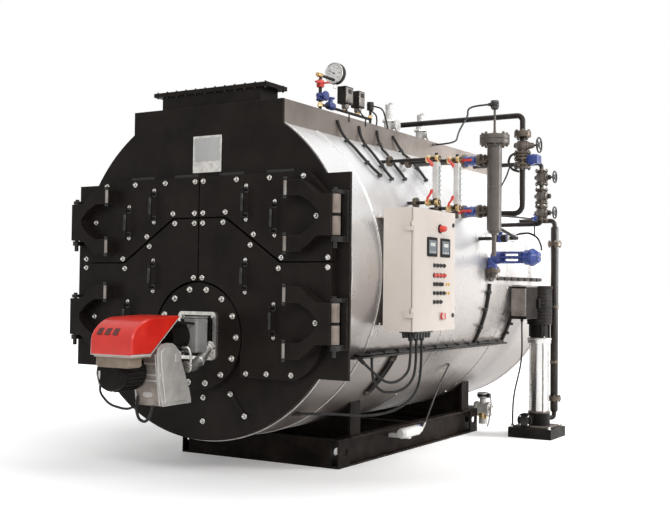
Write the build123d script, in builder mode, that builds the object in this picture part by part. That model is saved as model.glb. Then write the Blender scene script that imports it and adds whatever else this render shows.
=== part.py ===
from build123d import *
import math
import os

# Industrial fire-tube steam boiler, in millimetres.
# The door front faces -Y, the control side is +X, +Z is up, the floor is Z = 0.
# While the pieces are made, Y = 0 is the front face of the black front plate.
# At the end they are moved so that Y = 0 is the middle of the base.

os.makedirs("parts", exist_ok=True)

# Drum and front
drum_r = 1142.0
drum_z = 1364.0
drum_y0 = 420.0
drum_y1 = 3690.0
plate_t = 20.0
ear_x = 1143.0
ear_z0 = 678.0
ear_z1 = 1972.0
block_x = 632.0
block_z = 2475.0
flat_z = 2462.0
smoke_wall = 12.0
tube_plate_y0 = 380.0

# Base
base_x = 690.0
base_y0 = 654.0
base_y1 = 3050.0
rail_h = 200.0
rail_w = 75.0
rail_t = 12.0

# Doors
door_y0 = -55.0
door_y1 = -5.0
door_top = 1985.0
door_x = 1045.0
seam = 12.0
seam_z_side = 1412.0
seam_z_mid = 1710.0
burner_z = 920.0
burner_r = 355.0

# Hinges
hinge_x = 1088.0
hinge_y = -88.0
pin_r = 14.0
knuckle_r = 32.0
pin_play = 0.3
hinge_z_upper = 1700.0
hinge_z_lower = 1030.0

# Control panel
panel_x0 = 1160.0
panel_x1 = 1380.0
panel_y0 = 405.0
panel_y1 = 1035.0
panel_z0 = 975.0
panel_z1 = 1775.0
panel_wall = 4.0
panel_gap = 5.0

# Level column, stacks and pump
column_x = 1420.0
column_y = 1640.0
column_r = 54.0
steam_y = 1925.0
steam_z = 2580.0
steam_r = 21.0
stack_x = 1530.0
drain_x = 1450.0
drain_y = 2570.0
pump_x = 1270.0
pump_y = 3035.0
feed_x = 1345.0
feed_y = 3200.0


def block(x0, x1, y0, y1, z0, z1, mode=Mode.ADD):
    with Locations(((x0 + x1) / 2, (y0 + y1) / 2, (z0 + z1) / 2)):
        Box(abs(x1 - x0), abs(y1 - y0), abs(z1 - z0), mode=mode)


def bar(p, q, r, mode=Mode.ADD):
    d = Vector(*q) - Vector(*p)
    with Locations(Plane(origin=p, z_dir=d).location):
        Cylinder(r, d.length, align=(Align.CENTER, Align.CENTER, Align.MIN), mode=mode)


def cone(p, q, r0, r1, mode=Mode.ADD):
    d = Vector(*q) - Vector(*p)
    with Locations(Plane(origin=p, z_dir=d).location):
        Cone(r0, r1, d.length, align=(Align.CENTER, Align.CENTER, Align.MIN), mode=mode)


def front_plane(y):
    # Local x is X and local y is Z; an extrude goes towards -Y.
    return Plane(origin=(0, y, 0), x_dir=(1, 0, 0), z_dir=(0, -1, 0))


def slab(points, y0, y1, mode=Mode.ADD):
    # A polygon of (X, Z) points, from y0 to y1.
    with BuildSketch(front_plane(y1)) as shape:
        with BuildLine():
            Polyline(*points, close=True)
        make_face()
    extrude(shape.sketch, amount=y1 - y0, dir=(0, -1, 0), mode=mode)


def side_slab(points, x0, x1, mode=Mode.ADD):
    # A polygon of (Y, Z) points, from x0 to x1.
    with BuildSketch(Plane(origin=(x0, 0, 0), x_dir=(0, 1, 0), z_dir=(1, 0, 0))) as shape:
        with BuildLine():
            Polyline(*points, close=True)
        make_face()
    extrude(shape.sketch, amount=x1 - x0, dir=(1, 0, 0), mode=mode)


def bent(points, r, bend, mode=Mode.ADD):
    # A round pipe along straight runs with round bends.
    pts = [Vector(*p) for p in points]
    with BuildLine() as run:
        here = pts[0]
        for i in range(1, len(pts) - 1):
            a = (pts[i - 1] - pts[i]).normalized()
            b = (pts[i + 1] - pts[i]).normalized()
            half = math.radians(a.get_angle(b)) / 2
            back = bend / math.tan(half)
            p0 = pts[i] + a * back
            p1 = pts[i] + b * back
            mid_dir = (a + b).normalized()
            mid = pts[i] + mid_dir * (bend / math.sin(half) - bend)
            if (p0 - here).length > 0.5:
                Line(here, p0)
            ThreePointArc(p0, mid, p1)
            here = p1
        Line(here, pts[-1])
    with BuildSketch(Plane(origin=run.line @ 0, z_dir=run.line % 0)) as section:
        Circle(r)
    sweep(section.sketch, path=run.line, mode=mode)


def cord(points, r, label):
    # A cord along straight runs with tangent arcs at their corners.
    pts = [Vector(*p) for p in points]
    runs = [(q - p).length for p, q in zip(pts, pts[1:])]
    radii = []
    for i in range(1, len(pts) - 1):
        turn = math.radians((pts[i] - pts[i - 1]).get_angle(pts[i + 1] - pts[i]))
        radii.append(0.45 * min(runs[i - 1], runs[i]) / math.tan(turn / 2))
    with BuildPart() as c:
        with BuildLine() as run:
            FilletPolyline(*pts, radius=radii)
        with BuildSketch(Plane(origin=run.line @ 0, z_dir=run.line % 0)):
            Circle(r)
        sweep(path=run.line)
    c.part.label = label
    length = sum(e.length for e in run.edges())
    share = c.part.volume / (math.pi * r * r * length)
    print(label, "length", round(length), "radii", [round(x) for x in radii], "volume", round(share, 3))
    return c


# Base frame: two channel rails open outwards, two cross beams, plates at the rail ends.
with BuildPart() as base_frame:
    for s in (-1, 1):
        block(s * (base_x - rail_w), s * (base_x - rail_w + rail_t), base_y0, base_y1, 0, rail_h)
        block(s * (base_x - rail_w), s * base_x, base_y0, base_y1, 0, rail_t)
        block(s * (base_x - rail_w), s * base_x, base_y0, base_y1, rail_h - rail_t, rail_h)
        for y0 in (base_y0, base_y1 - 145):
            block(s * (base_x - rail_t), s * base_x, y0, y0 + 145, 0, rail_h)
    for y0, y1 in ((base_y0, base_y0 + 60), (base_y1 - 60, base_y1), (1822, 1882)):
        block(-(base_x - rail_w), base_x - rail_w, y0, y1, 0, rail_h)
    for y in (base_y0 + 80, base_y1 - 80):
        with BuildSketch(Plane(origin=(-base_x - 5, y, 108), x_dir=(0, 1, 0), z_dir=(1, 0, 0))) as oval:
            SlotOverall(82, 52)
        extrude(to_extrude=oval.sketch, amount=2 * base_x + 10, mode=Mode.SUBTRACT)
base_frame.part.label = "base_frame"


# Saddles between the rails and the drum
with BuildPart() as saddles:
    for y_mid in (880, 2790):
        block(-base_x + 20, base_x - 20, y_mid - 10, y_mid + 10, rail_h, 620)
        for k in (-1, 1):
            block(k * (base_x - 20), k * base_x, y_mid - 70, y_mid + 70, rail_h, 620)
    bar((0, 0, drum_z), (0, 3600, drum_z), drum_r, Mode.SUBTRACT)
saddles.part.label = "saddles"

# Drum with its cladding
with BuildPart() as boiler_shell:
    bar((0, drum_y0, drum_z), (0, drum_y1, drum_z), drum_r)
    # Flat under the deck
    block(-400, 400, drum_y0 - 5, drum_y1 + 5, flat_z, 2600, Mode.SUBTRACT)
boiler_shell.part.label = "boiler_shell"

with BuildPart() as rear_end:
    bar((0, drum_y1, drum_z), (0, drum_y1 + 25, drum_z), drum_r - 12)
    bar((0, drum_y1 + 25, drum_z - 40), (0, drum_y1 + 55, drum_z - 40), 560)
    bar((0, drum_y1 + 55, burner_z + 40), (0, drum_y1 + 75, burner_z + 40), 90)
    block(-400, 400, drum_y1 - 5, drum_y1 + 90, flat_z, 2600, Mode.SUBTRACT)
rear_end.part.label = "rear_end"

# Smoke box behind the doors
with BuildPart() as smoke_box:
    bar((0, plate_t, drum_z), (0, drum_y0, drum_z), drum_r)
    bar((0, plate_t, drum_z), (0, drum_y0, drum_z), drum_r - smoke_wall, Mode.SUBTRACT)
    block(-400, 400, plate_t - 5, drum_y0 + 5, flat_z, 2600, Mode.SUBTRACT)
    block(-300, 300, plate_t, drum_y0, flat_z - 12, flat_z)
smoke_box.part.label = "smoke_box"

with BuildPart() as tube_plate:
    bar((0, tube_plate_y0, drum_z), (0, drum_y0, drum_z), drum_r - smoke_wall)
    bar((0, plate_t, burner_z), (0, tube_plate_y0, burner_z), burner_r - 20)
    block(-400, 400, tube_plate_y0 - 5, drum_y0 + 5, flat_z - smoke_wall, 2600, Mode.SUBTRACT)
tube_plate.part.label = "tube_plate"

# Deck along the top of the drum
with BuildPart() as deck:
    block(-block_x, block_x, plate_t, 3640, 2260, block_z)
    block(-block_x + 10, block_x - 10, plate_t, 3630, 2250, block_z - 10, Mode.SUBTRACT)
    bar((0, 0, drum_z), (0, 3800, drum_z), drum_r, Mode.SUBTRACT)
    block(-block_x, block_x, plate_t, 3640, block_z - 10, block_z)
    bar((block_x - 8, 2230, 2450), (block_x + 28, 2230, 2450), 12)
deck.part.label = "deck"

# Front plate with the openings behind the doors
upper_hole = [(60, 1935), (800, 1935), (950, 1770), (950, 1470), (690, 1470), (250, 1765), (60, 1765)]
lower_hole = [(395, 1350), (590, 1350), (950, 1350), (950, 960), (890, 860), (740, 730), (440, 730),
              (440, 1060), (395, 1200)]
with BuildPart() as front_plate:
    with BuildSketch(front_plane(plate_t)):
        with Locations((0, drum_z)):
            Circle(drum_r)
        with Locations((0, (ear_z0 + ear_z1) / 2)):
            Rectangle(2 * ear_x, ear_z1 - ear_z0)
        with Locations((0, (drum_z + block_z) / 2)):
            Rectangle(2 * block_x, block_z - drum_z)
        with Locations((0, block_z + 100)):
            Rectangle(2 * block_x, 200, mode=Mode.SUBTRACT)
    extrude(amount=plate_t)
    for s in (-1, 1):
        slab([(s * x, z) for x, z in upper_hole], -1, plate_t + 1, Mode.SUBTRACT)
        slab([(s * x, z) for x, z in lower_hole], -1, plate_t + 1, Mode.SUBTRACT)
front_plate.part.label = "front_plate"

# Flue outlet
with BuildPart() as flue_neck:
    block(-420, 420, 50, 250, block_z, 2575)
    block(-483, 483, 30, 270, 2575, 2603)
    block(-400, 400, 70, 230, block_z + 10, 2610, Mode.SUBTRACT)
flue_neck.part.label = "flue_neck"

# Doors with their hinge arms and bar handles
half = seam / 2
upper_leaf = [(half, door_top), (870, door_top), (door_x, 1800), (door_x, seam_z_side + half),
              (660 + half, seam_z_side + half), (220 + half, seam_z_mid + half), (half, seam_z_mid + half)]
arm = [(740, 225), (862, 225), (925, 178), (985, 128), (hinge_x, 128), (hinge_x, -128), (985, -128),
       (925, -178), (862, -225), (740, -225)]
recess = [(730, 125), (860, 125), (935, 85), (1000, 20), (1000, -20), (935, -85), (860, -125), (730, -125)]


def hinge_arm(s, z):
    slab([(s * x, z + dz) for x, dz in arm], -140, door_y0 + 0.01)
    slab([(s * x, z + dz) for x, dz in recess], -150, door_y0, Mode.SUBTRACT)
    bar((s * hinge_x, hinge_y, z - 128), (s * hinge_x, hinge_y, z + 128), knuckle_r)
    # Room round the knuckle, so that the arm's square end doesn't reach past it
    block(s * hinge_x, s * (hinge_x + 60), -150, hinge_y - knuckle_r, z - 140, z + 140, Mode.SUBTRACT)
    bar((s * hinge_x, hinge_y, z - 140), (s * hinge_x, hinge_y, z + 140), pin_r + pin_play, Mode.SUBTRACT)
    for dz in (175, -175):
        bar((s * 752, -140, z + dz - 70), (s * 752, -140, z + dz + 70), 9)


def bar_handle(x, z0, z1):
    bar((x, -100, z0), (x, -100, z1), 9)
    for z in (z0 + 15, z1 - 15):
        bar((x, door_y0 + 1, z), (x, -100, z), 8)


def upper_door(s):
    with BuildPart() as d:
        slab([(s * x, z) for x, z in upper_leaf], door_y0, door_y1)
        hinge_arm(s, hinge_z_upper)
        bar_handle(s * 390, 1702, 1898)
        bar_handle(s * 617, 1595, 1790)
    return d


def lower_door(s):
    with BuildPart() as d:
        with BuildSketch(front_plane(door_y1)):
            with BuildLine():
                Polyline((s * half, 900), (s * half, seam_z_mid - half), (s * (220 - half), seam_z_mid - half),
                         (s * (660 - half), seam_z_side - half), (s * door_x, seam_z_side - half),
                         (s * door_x, 912), (s * 980, 912))
                ThreePointArc((s * 980, 912), (s * 905, 752), (s * 770, 665))
                Polyline((s * 770, 665), (s * 358, 665), (s * 358, 900), (s * half, 900))
            make_face()
            with Locations((0, burner_z)):
                Circle(burner_r + seam + 4, mode=Mode.SUBTRACT)
        extrude(amount=door_y1 - door_y0)
        hinge_arm(s, hinge_z_lower)
        bar_handle(s * 390, 1228, 1415)
        bar_handle(s * 617, 940, 1131)
    return d


door_upper_left = upper_door(-1)
door_upper_left.part.label = "door_upper_left"
door_upper_right = upper_door(1)
door_upper_right.part.label = "door_upper_right"
door_lower_left = lower_door(-1)
door_lower_left.part.label = "door_lower_left"
door_lower_right = lower_door(1)
door_lower_right.part.label = "door_lower_right"


# Two lugs on the ear with the pin through them, at each hinge
with BuildPart() as hinge_brackets:
    for s in (-1, 1):
        for z in (hinge_z_upper, hinge_z_lower):
            for z0, z1 in ((z - 165, z - 133), (z + 133, z + 155)):
                block(s * (hinge_x - 26), s * (hinge_x + 26), hinge_y, 0, z0, z1)
                bar((s * hinge_x, hinge_y, z0), (s * hinge_x, hinge_y, z1), 26)
            bar((s * hinge_x, hinge_y, z - 205), (s * hinge_x, hinge_y, z + 168), pin_r)
            block(s * (hinge_x + 6), s * (hinge_x + 46), -12, 0, z - 165, z + 155)
hinge_brackets.part.label = "hinge_brackets"

# Round burner plate and the burner
with BuildPart() as burner_plate:
    bar((0, -50, burner_z), (0, 0, burner_z), burner_r)
burner_plate.part.label = "burner_plate"

housing_side = [(-605, 860), (-585, 880), (-440, 885), (-410, 855), (-285, 560), (-277, 505), (-548, 505)]

with BuildPart() as burner_flange:
    bar((0, -60, 925), (0, -420, 925), 95)
    block(40, 150, -250, -130, 820, 1050)
    bent([(120, -300, 760), (120, -190, 760), (120, -40, 850)], 34, 60)
    block(-300, 300, -50, 50, 600, 1100, Mode.SUBTRACT)
    side_slab(housing_side, -76, 153, Mode.SUBTRACT)
    with BuildSketch(front_plane(-50)):
        with Locations((10, 925)):
            RectangleRounded(318, 318, 28)
            RectangleRounded(270, 270, 14, mode=Mode.SUBTRACT)
    extrude(amount=26)
    with BuildSketch(front_plane(-50)):
        with Locations((10, 925)):
            RectangleRounded(276, 276, 14)
    extrude(amount=10)
burner_flange.part.label = "burner_flange"

with BuildPart() as burner_housing:
    side_slab(housing_side, -75, 152)
    bar((-75, -430, 690), (-110, -430, 690), 130)
burner_housing.part.label = "burner_housing"

with BuildPart() as burner_hood:
    side_slab([(-876, 830), (-876, 975), (-862, 1010), (-830, 1038), (-785, 1055), (-430, 1066), (-430, 1060),
               (-705, 830)], -170, 170)
    side_slab([(-868, 820), (-868, 972), (-856, 1004), (-826, 1031), (-783, 1047), (-420, 1057), (-420, 1030),
               (-600, 820)], -162, 162, Mode.SUBTRACT)
    for x in (-120, -72, -24):
        block(x - 13, x + 13, -890, -850, 975, 1020, Mode.SUBTRACT)
burner_hood.part.label = "burner_hood"

with BuildPart() as burner_motor:
    bar((-70, -820, 715), (-70, -612, 715), 112)
    bar((-70, -612, 715), (-70, -560, 715), 60)
    side_slab(housing_side, -76, 153, Mode.SUBTRACT)
    block(-150, 10, -800, -640, 800, 862)
    block(-162, 162, -760, -520, 886, 960)
    block(-150, 10, -760, -640, 850, 890)
    bar((0, -640, 925), (0, -420, 925), 34)
burner_motor.part.label = "burner_motor"

# Control panel: an open cabinet with its mounting plate and brackets, and a door
with BuildPart() as panel_box:
    block(panel_x0, panel_x1 - 12 - panel_gap, panel_y0, panel_y1, panel_z0, panel_z1)
    block(panel_x0 + panel_wall, panel_x1, panel_y0 + panel_wall, panel_y1 - panel_wall,
          panel_z0 + panel_wall, panel_z1 - panel_wall, Mode.SUBTRACT)
    block(panel_x0 + 18, panel_x0 + 22, panel_y0 + 40, panel_y1 - 40, panel_z0 + 50, panel_z1 - 50)
    for y in (panel_y0 + 70, panel_y1 - 70):
        for z in (panel_z0 + 90, panel_z1 - 90):
            bar((panel_x0 + 2, y, z), (panel_x0 + 20, y, z), 8)
    for z in (panel_z0 + 30, panel_z1 - 60):
        block(1030, panel_x0 + 1, panel_y0 + 20, panel_y1 - 20, z, z + 6)
        block(panel_x0 - 6, panel_x0 + 1, panel_y0 + 20, panel_y1 - 20, z - 34, z + 6)
    bar((0, 0, drum_z), (0, 2000, drum_z), drum_r, Mode.SUBTRACT)
    for z in (panel_z0 + 120, panel_z1 - 120):
        block(panel_x1 - 60, panel_x1 - 22, panel_y0 - 12, panel_y0 + 1, z - 30, z + 30)
        bar((panel_x1 - 6, panel_y0 - 12, z - 30), (panel_x1 - 6, panel_y0 - 12, z - 3), 7)
        block(panel_x1 - 40, panel_x1 - 6, panel_y0 - 19, panel_y0 - 8, z - 30, z - 3)
        bar((panel_x1 - 6, panel_y0 - 12, z - 5), (panel_x1 - 6, panel_y0 - 12, z + 26), 3.5)
panel_box.part.label = "panel_box"

with BuildPart() as panel_door:
    block(panel_x1 - 12, panel_x1, panel_y0, panel_y1, panel_z0, panel_z1)
    for z in (panel_z0 + 120, panel_z1 - 120):
        bar((panel_x1 - 6, panel_y0 - 12, z + 1), (panel_x1 - 6, panel_y0 - 12, z + 30), 7)
        block(panel_x1 - 12, panel_x1, panel_y0 - 8, panel_y0 + 1, z + 1, z + 30)
        bar((panel_x1 - 6, panel_y0 - 12, z - 1), (panel_x1 - 6, panel_y0 - 12, z + 31), 3.8, Mode.SUBTRACT)
    bar((panel_x1, 816, 1070), (panel_x1 + 30, 816, 1070), 22)
    bar((panel_x1, 1000, 1075), (panel_x1 + 6, 1000, 1075), 12)
    bar((panel_x1, 790, 1655), (panel_x1 + 20, 790, 1655), 16)
panel_door.part.label = "panel_door"

with BuildPart() as cable_glands:
    block(1200, 1330, 560, 800, panel_z0 - 14, panel_z0)
    for y in (600, 680, 760):
        bar((1265, y, panel_z0 - 14), (1265, y, panel_z0 - 70), 16)
cable_glands.part.label = "cable_glands"


# Level gauges on the side of the drum
with BuildPart() as level_gauges:
    for y, z0, z1 in ((1000, 1815, 2200), (1350, 1800, 2230)):
        block(1236, 1264, y - 22, y + 22, z0 + 52, z1 - 52)
        bar((1250, y, z0), (1250, y, z1), 11)
        for z in (z0 + 40, z1 - 40):
            bar((700, y, z), (1225, y, z), 12)
            bar((1190, y, z), (1278, y, z), 20)
            bar((1210, y - 55, z), (1210, y - 5, z), 7)
    bar((0, 0, drum_z), (0, 3000, drum_z), drum_r, Mode.SUBTRACT)
level_gauges.part.label = "level_gauges"

# Level column with its branches, flanges and probe
with BuildPart() as level_column:
    bar((column_x, column_y, 1690), (column_x, column_y, 2335), column_r)
    bar((column_x, column_y, 2330), (column_x, column_y, 2362), 110)
    bar((column_x, column_y, 2366), (column_x, column_y, 2398), 110)
    bar((column_x, column_y, 2362), (column_x, column_y, 2366), 85)
    bar((column_x, column_y, 2398), (column_x, column_y, 2600), 9)
    bar((column_x, column_y, 2600), (column_x, column_y, 2655), 30)
    bar((column_x - 54, column_y, 2630), (column_x - 10, column_y, 2630), 11)
    bar((column_x, column_y, 1500), (column_x, column_y, 1690), 17)
    for z in (2215, 1835):
        bar((600, column_y, z), (column_x, column_y, z), 19)
        bar((1180, column_y, z), (1195, column_y, z), 48)
        bar((1290, column_y, z), (1305, column_y, z), 48)
        bar((1195, column_y, z), (1290, column_y, z), 34)
        bar((1242, column_y, z), (1242, column_y - 60, z), 10)
    bar((0, 0, drum_z), (0, 3000, drum_z), drum_r, Mode.SUBTRACT)
level_column.part.label = "level_column"

# Steam pipe over the deck and the stop valve stack
with BuildPart() as steam_pipe:
    bent([(370, steam_y, block_z), (370, steam_y, steam_z), (stack_x, steam_y, steam_z),
          (stack_x, steam_y, 2455)], steam_r, 45)
    bar((370, steam_y, block_z), (370, steam_y, block_z + 16), 50)
    bar((stack_x, steam_y, 2458), (stack_x, steam_y, 2434), 60)
steam_pipe.part.label = "steam_pipe"

with BuildPart() as stop_valve:
    bar((stack_x, steam_y, 2434), (stack_x, steam_y, 2416), 60)
    bar((stack_x, steam_y, 2416), (stack_x, steam_y, 1880), steam_r)
    bar((stack_x, steam_y, 2385), (stack_x, steam_y, 2305), 45)
    bar((stack_x, steam_y, 2345), (stack_x + 95.7, steam_y, 2345), 22)
    for z in (2282, 2258, 2215, 2191):
        bar((stack_x, steam_y, z - 14), (stack_x, steam_y, z), 60)
    block(stack_x + 15, stack_x + 125, steam_y - 45, steam_y + 45, 2204, 2272)
    bar((stack_x + 60, steam_y, 2235), (stack_x, steam_y, 2235), 30)
    bent([(stack_x, steam_y, 1880), (stack_x, steam_y, 1835), (1000, steam_y, 1835)], steam_r, 40)
    bar((0, 0, drum_z), (0, 3000, drum_z), drum_r, Mode.SUBTRACT)
stop_valve.part.label = "stop_valve"


def hand_wheel(p, d, r, name):
    # A wheel with a hub and four spokes; its axis runs from p along d.
    base = Plane(origin=p, z_dir=d)
    with BuildPart() as w:
        with BuildSketch(base):
            Circle(r)
            Circle(r - 14, mode=Mode.SUBTRACT)
            Rectangle(2 * r - 14, 11)
            Rectangle(11, 2 * r - 14)
            Circle(15)
        extrude(amount=12)
        with BuildSketch(base):
            Circle(7.5)
        extrude(amount=-30)
    w.part.label = name
    return w


stop_wheel = hand_wheel((stack_x + 126, steam_y, 2345), (1, 0, 0), 62, "stop_wheel")

# Valves over the feed pump side, one above the other
with BuildPart() as drain_stack:
    bent([(1000, drain_y, 1790), (drain_x, drain_y, 1790), (drain_x, drain_y, 2290), (850, drain_y, 2290)], 17, 40)
    for z in (2172, 2018, 1882):
        bar((drain_x, drain_y, z - 48), (drain_x, drain_y, z + 48), 34)
        for dz in (-60, 48):
            bar((drain_x, drain_y, z + dz), (drain_x, drain_y, z + dz + 12), 50)
        bar((drain_x, drain_y, z), (drain_x + 75.7, drain_y, z), 20)
    bar((0, 0, drum_z), (0, 3000, drum_z), drum_r, Mode.SUBTRACT)
drain_stack.part.label = "drain_stack"

drain_wheel_upper = hand_wheel((drain_x + 106, drain_y, 2172), (1, 0, 0), 52, "drain_wheel_upper")
drain_wheel_lower = hand_wheel((drain_x + 106, drain_y, 1882), (1, 0, 0), 52, "drain_wheel_lower")

# Blue control valve on the side
with BuildPart() as control_valve:
    bar((1100, 2200, 1408), (1190, 2200, 1408), 24)
    bar((1160, 2200, 1375), (1178, 2200, 1375), 60)
    bar((1178, 2200, 1440), (1178, 2200, 1350), 45)
    bar((1178, 2200, 1508), (1250, 2200, 1508), 46)
    bar((1178, 2200, 1430), (1178, 2200, 1508), 40)
    bar((1250, 2200, 1508), (1460, 2200, 1508), 12)
    for y in (2160, 2234):
        bar((1240, y + 3, 1508), (1460, y + 3, 1508), 7)
    bar((1455, 2200, 1508), (1500, 2200, 1508), 58)
    cone((1500, 2200, 1508), (1570, 2200, 1508), 66, 40)
    bar((0, 0, drum_z), (0, 3000, drum_z), drum_r, Mode.SUBTRACT)
control_valve.part.label = "control_valve"

with BuildPart() as lever_valve:
    bar((column_x, column_y + 54, 1720), (column_x, 2090, 1655), 12)
    bar((900, 2100, 1655), (column_x + 10, 2100, 1655), 14)
    bar((1230, 2100, 1655), (1340, 2100, 1655), 30)
    bar((1285, 2100, 1655), (1285, 2100, 1700), 11)
    block(1215, 1300, 2088, 2112, 1696, 1706)
    bar((column_x, column_y, 1690), (column_x, column_y, 2335), column_r, Mode.SUBTRACT)
    bar((0, 0, drum_z), (0, 3000, drum_z), drum_r, Mode.SUBTRACT)
lever_valve.part.label = "lever_valve"


# Safety valves and gauges on the deck
safety_half = [(0, 0), (62, 0), (62, 18), (38, 18), (36, 30), (36, 88), (40, 95), (48, 95), (48, 108), (36, 114),
               (32, 150), (23, 196), (27, 205), (27, 232), (20, 240), (0, 240)]
with BuildPart() as safety_valves:
    for y in (1690, 2250):
        with BuildSketch(Plane(origin=(500, y, block_z), x_dir=(1, 0, 0), z_dir=(0, -1, 0))) as shape:
            with BuildLine():
                Polyline(*safety_half, close=True)
            make_face()
        revolve(shape.sketch, axis=Axis((500, y, block_z), (0, 0, 1)))
        bar((500, y, block_z + 62), (586, y, block_z + 62), 24)
        bar((572, y, block_z + 62), (586, y, block_z + 62), 44)
safety_valves.part.label = "safety_valves"

with BuildPart() as gauge_stand:
    bar((540, 600, block_z), (540, 600, 2720), 12)
    bar((540, 600, 2568), (540, 600, 2612), 24)
    bar((540, 600, 2660), (540, 600, 2704), 26)
    bent([(540, 600, 2690), (540, 600, 2740), (540, 790, 2740)], 10, 34)
    bar((540, 782, 2788), (540, 820, 2788), 78)
    bar((540, 600, 2535), (540, 1330, 2535), 10)
    block(505, 575, 890, 1000, 2590, 2715)
    bar((540, 945, 2535), (540, 945, 2592), 12)
    block(505, 575, 1085, 1170, 2590, 2712)
    bar((540, 1128, 2535), (540, 1128, 2592), 12)
    bar((540, 1320, block_z), (540, 1320, 2610), 10)
    bar((540, 1320, 2605), (540, 1320, 2665), 26)
gauge_stand.part.label = "gauge_stand"

# Feed pump
with BuildPart() as pump_base:
    block(1060, 1440, 2850, 3220, 0, 85)
    bar((pump_x, pump_y, 85), (pump_x, pump_y, 215), 92)
    bar((pump_x - 65, 2852, 150), (pump_x - 65, 2872, 150), 62)
    bar((pump_x - 65, 2872, 150), (pump_x - 65, 2960, 150), 36)
    block(pump_x - 100, pump_x - 20, 2930, 3080, 90, 195)
    bar((1090, 2880, 80), (1090, 2880, 110), 12)
pump_base.part.label = "pump_base"

with BuildPart() as pump_body:
    bar((pump_x, pump_y, 215), (pump_x, pump_y, 810), 76)
    bar((pump_x, pump_y, 800), (pump_x, pump_y, 830), 100)
pump_body.part.label = "pump_body"

with BuildPart() as pump_motor:
    bar((pump_x, pump_y, 830), (pump_x, pump_y, 960), 82)
    bar((pump_x, pump_y, 960), (pump_x, pump_y, 1290), 105)
    block(1160, 1290, 2660, pump_y - 60, 1010, 1290)
    bar((1200, 2800, 985), (1200, 2800, 1015), 12)
pump_motor.part.label = "pump_motor"

with BuildPart() as feed_pipe:
    bar((feed_x, feed_y, 150), (feed_x, feed_y, 1850), 20)
    bent([(pump_x, pump_y + 90, 150), (feed_x, feed_y, 150), (feed_x, feed_y, 250)], 20, 26)
    bent([(feed_x, feed_y, 1700), (feed_x, feed_y, 1860), (1000, feed_y, 1860)], 20, 40)
    for z in (300, 1640):
        bar((feed_x, feed_y, z), (feed_x, feed_y, z + 34), 50)
    bar((0, 0, drum_z), (0, 3600, drum_z), drum_r, Mode.SUBTRACT)
    bar((pump_x, pump_y, 80), (pump_x, pump_y, 220), 92, Mode.SUBTRACT)
feed_pipe.part.label = "feed_pipe"

# Blowdown valve group under the drum
with BuildPart() as blowdown_valve:
    bent([(450, 3120, 420), (450, 3120, 190), (800, 3120, 190)], 24, 50)
    bar((650, 3120, 190), (672, 3120, 190), 66)
    bar((672, 3120, 190), (762, 3120, 190), 52)
    bar((762, 3120, 190), (784, 3120, 190), 66)
    bar((717, 3120, 190), (717, 3120, 300), 30)
    bar((717, 3120, 290), (717, 3120, 335), 52)
    bar((717, 3120, 190), (717, 3120, 60), 38)
    bar((0, 2000, drum_z), (0, 3600, drum_z), drum_r, Mode.SUBTRACT)
blowdown_valve.part.label = "blowdown_valve"

# Sample filter at the rail
with BuildPart() as drain_filter:
    bar((790, 1400, 170), (790, 1660, 170), 38)
    bar((790, 1380, 170), (790, 1400, 170), 28)
    bar((790, 1660, 170), (790, 1720, 170), 22)
    block(base_x - rail_w + rail_t, 800, 1500, 1540, 120, 150)
    bent([(790, 1700, 170), (790, 1760, 170), (850, 1900, 480), (905, 1990, 660)], 7, 30)
    bar((0, 1000, drum_z), (0, 3600, drum_z), drum_r, Mode.SUBTRACT)
drain_filter.part.label = "drain_filter"

# Cable tray along the drum with the conduits that rise from it
with BuildPart() as cable_tray:
    block(960, 1046, 240, 2860, 792, 806)
    block(960, 1092, 270, 450, 800, 806)
    bar((1064, 332, 765), (1040, 300, 801), 13)
    bar((1070, 425, 790), (1070, 425, 803), 13)
    bar((700, 150, 432), (652, 114, 432), 13)
    for y, z1 in ((2210, 1300), (2800, 1070)):
        a0 = math.degrees(math.atan2(800 - drum_z, 1000))
        a1 = math.degrees(math.asin((z1 - drum_z) / (drum_r + 12)))
        with BuildLine(Plane(origin=(0, y, drum_z), x_dir=(1, 0, 0), z_dir=(0, -1, 0))) as ring:
            CenterArc((0, 0), drum_r + 12, a0, a1 - a0)
        with BuildSketch(Plane(origin=ring.line @ 0, z_dir=ring.line % 0)):
            Circle(14)
        sweep(path=ring.line)
    for y in (860, 905):
        a0 = math.degrees(math.asin((505 - drum_z) / (drum_r + 12)))
        a1 = math.degrees(math.asin((798 - drum_z) / (drum_r + 12)))
        with BuildLine(Plane(origin=(0, y, drum_z), x_dir=(1, 0, 0), z_dir=(0, -1, 0))) as ring:
            CenterArc((0, 0), drum_r + 12, a0, a1 - a0)
        with BuildSketch(Plane(origin=ring.line @ 0, z_dir=ring.line % 0)):
            Circle(12)
        sweep(path=ring.line)
    bar((0, 0, drum_z), (0, 3600, drum_z), drum_r, Mode.SUBTRACT)
cable_tray.part.label = "cable_tray"

# Cords that hang free
loop_short_route = [(1265, 600, 905), (1265, 600, 845), (1262, 598, 777), (1257, 590, 711), (1230, 554, 664),
                    (1194, 506, 634), (1155, 453, 642), (1122, 410, 682), (1091, 368, 725), (1064, 332, 765)]
loop_mid_route = [(1265, 680, 905), (1265, 680, 825), (1265, 674, 738), (1260, 651, 654), (1229, 598, 593),
                  (1178, 532, 568), (1120, 473, 573), (1082, 436, 628), (1070, 425, 712), (1070, 425, 790)]
loop_long_route = [(1265, 760, 905), (1265, 760, 815), (1262, 758, 701), (1252, 746, 590), (1209, 699, 499),
                   (1143, 625, 444), (1070, 543, 417), (994, 458, 411), (918, 374, 420), (848, 286, 430),
                   (772, 204, 432), (700, 150, 432)]
probe_route = [(1366, 1640, 2630), (1266, 1640, 2630), (1178, 1692, 2621), (1134, 1800, 2589), (1058, 1887, 2549),
               (984, 1977, 2512), (921, 2078, 2482), (864, 2185, 2459), (760, 2230, 2450), (660, 2230, 2450)]
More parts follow.
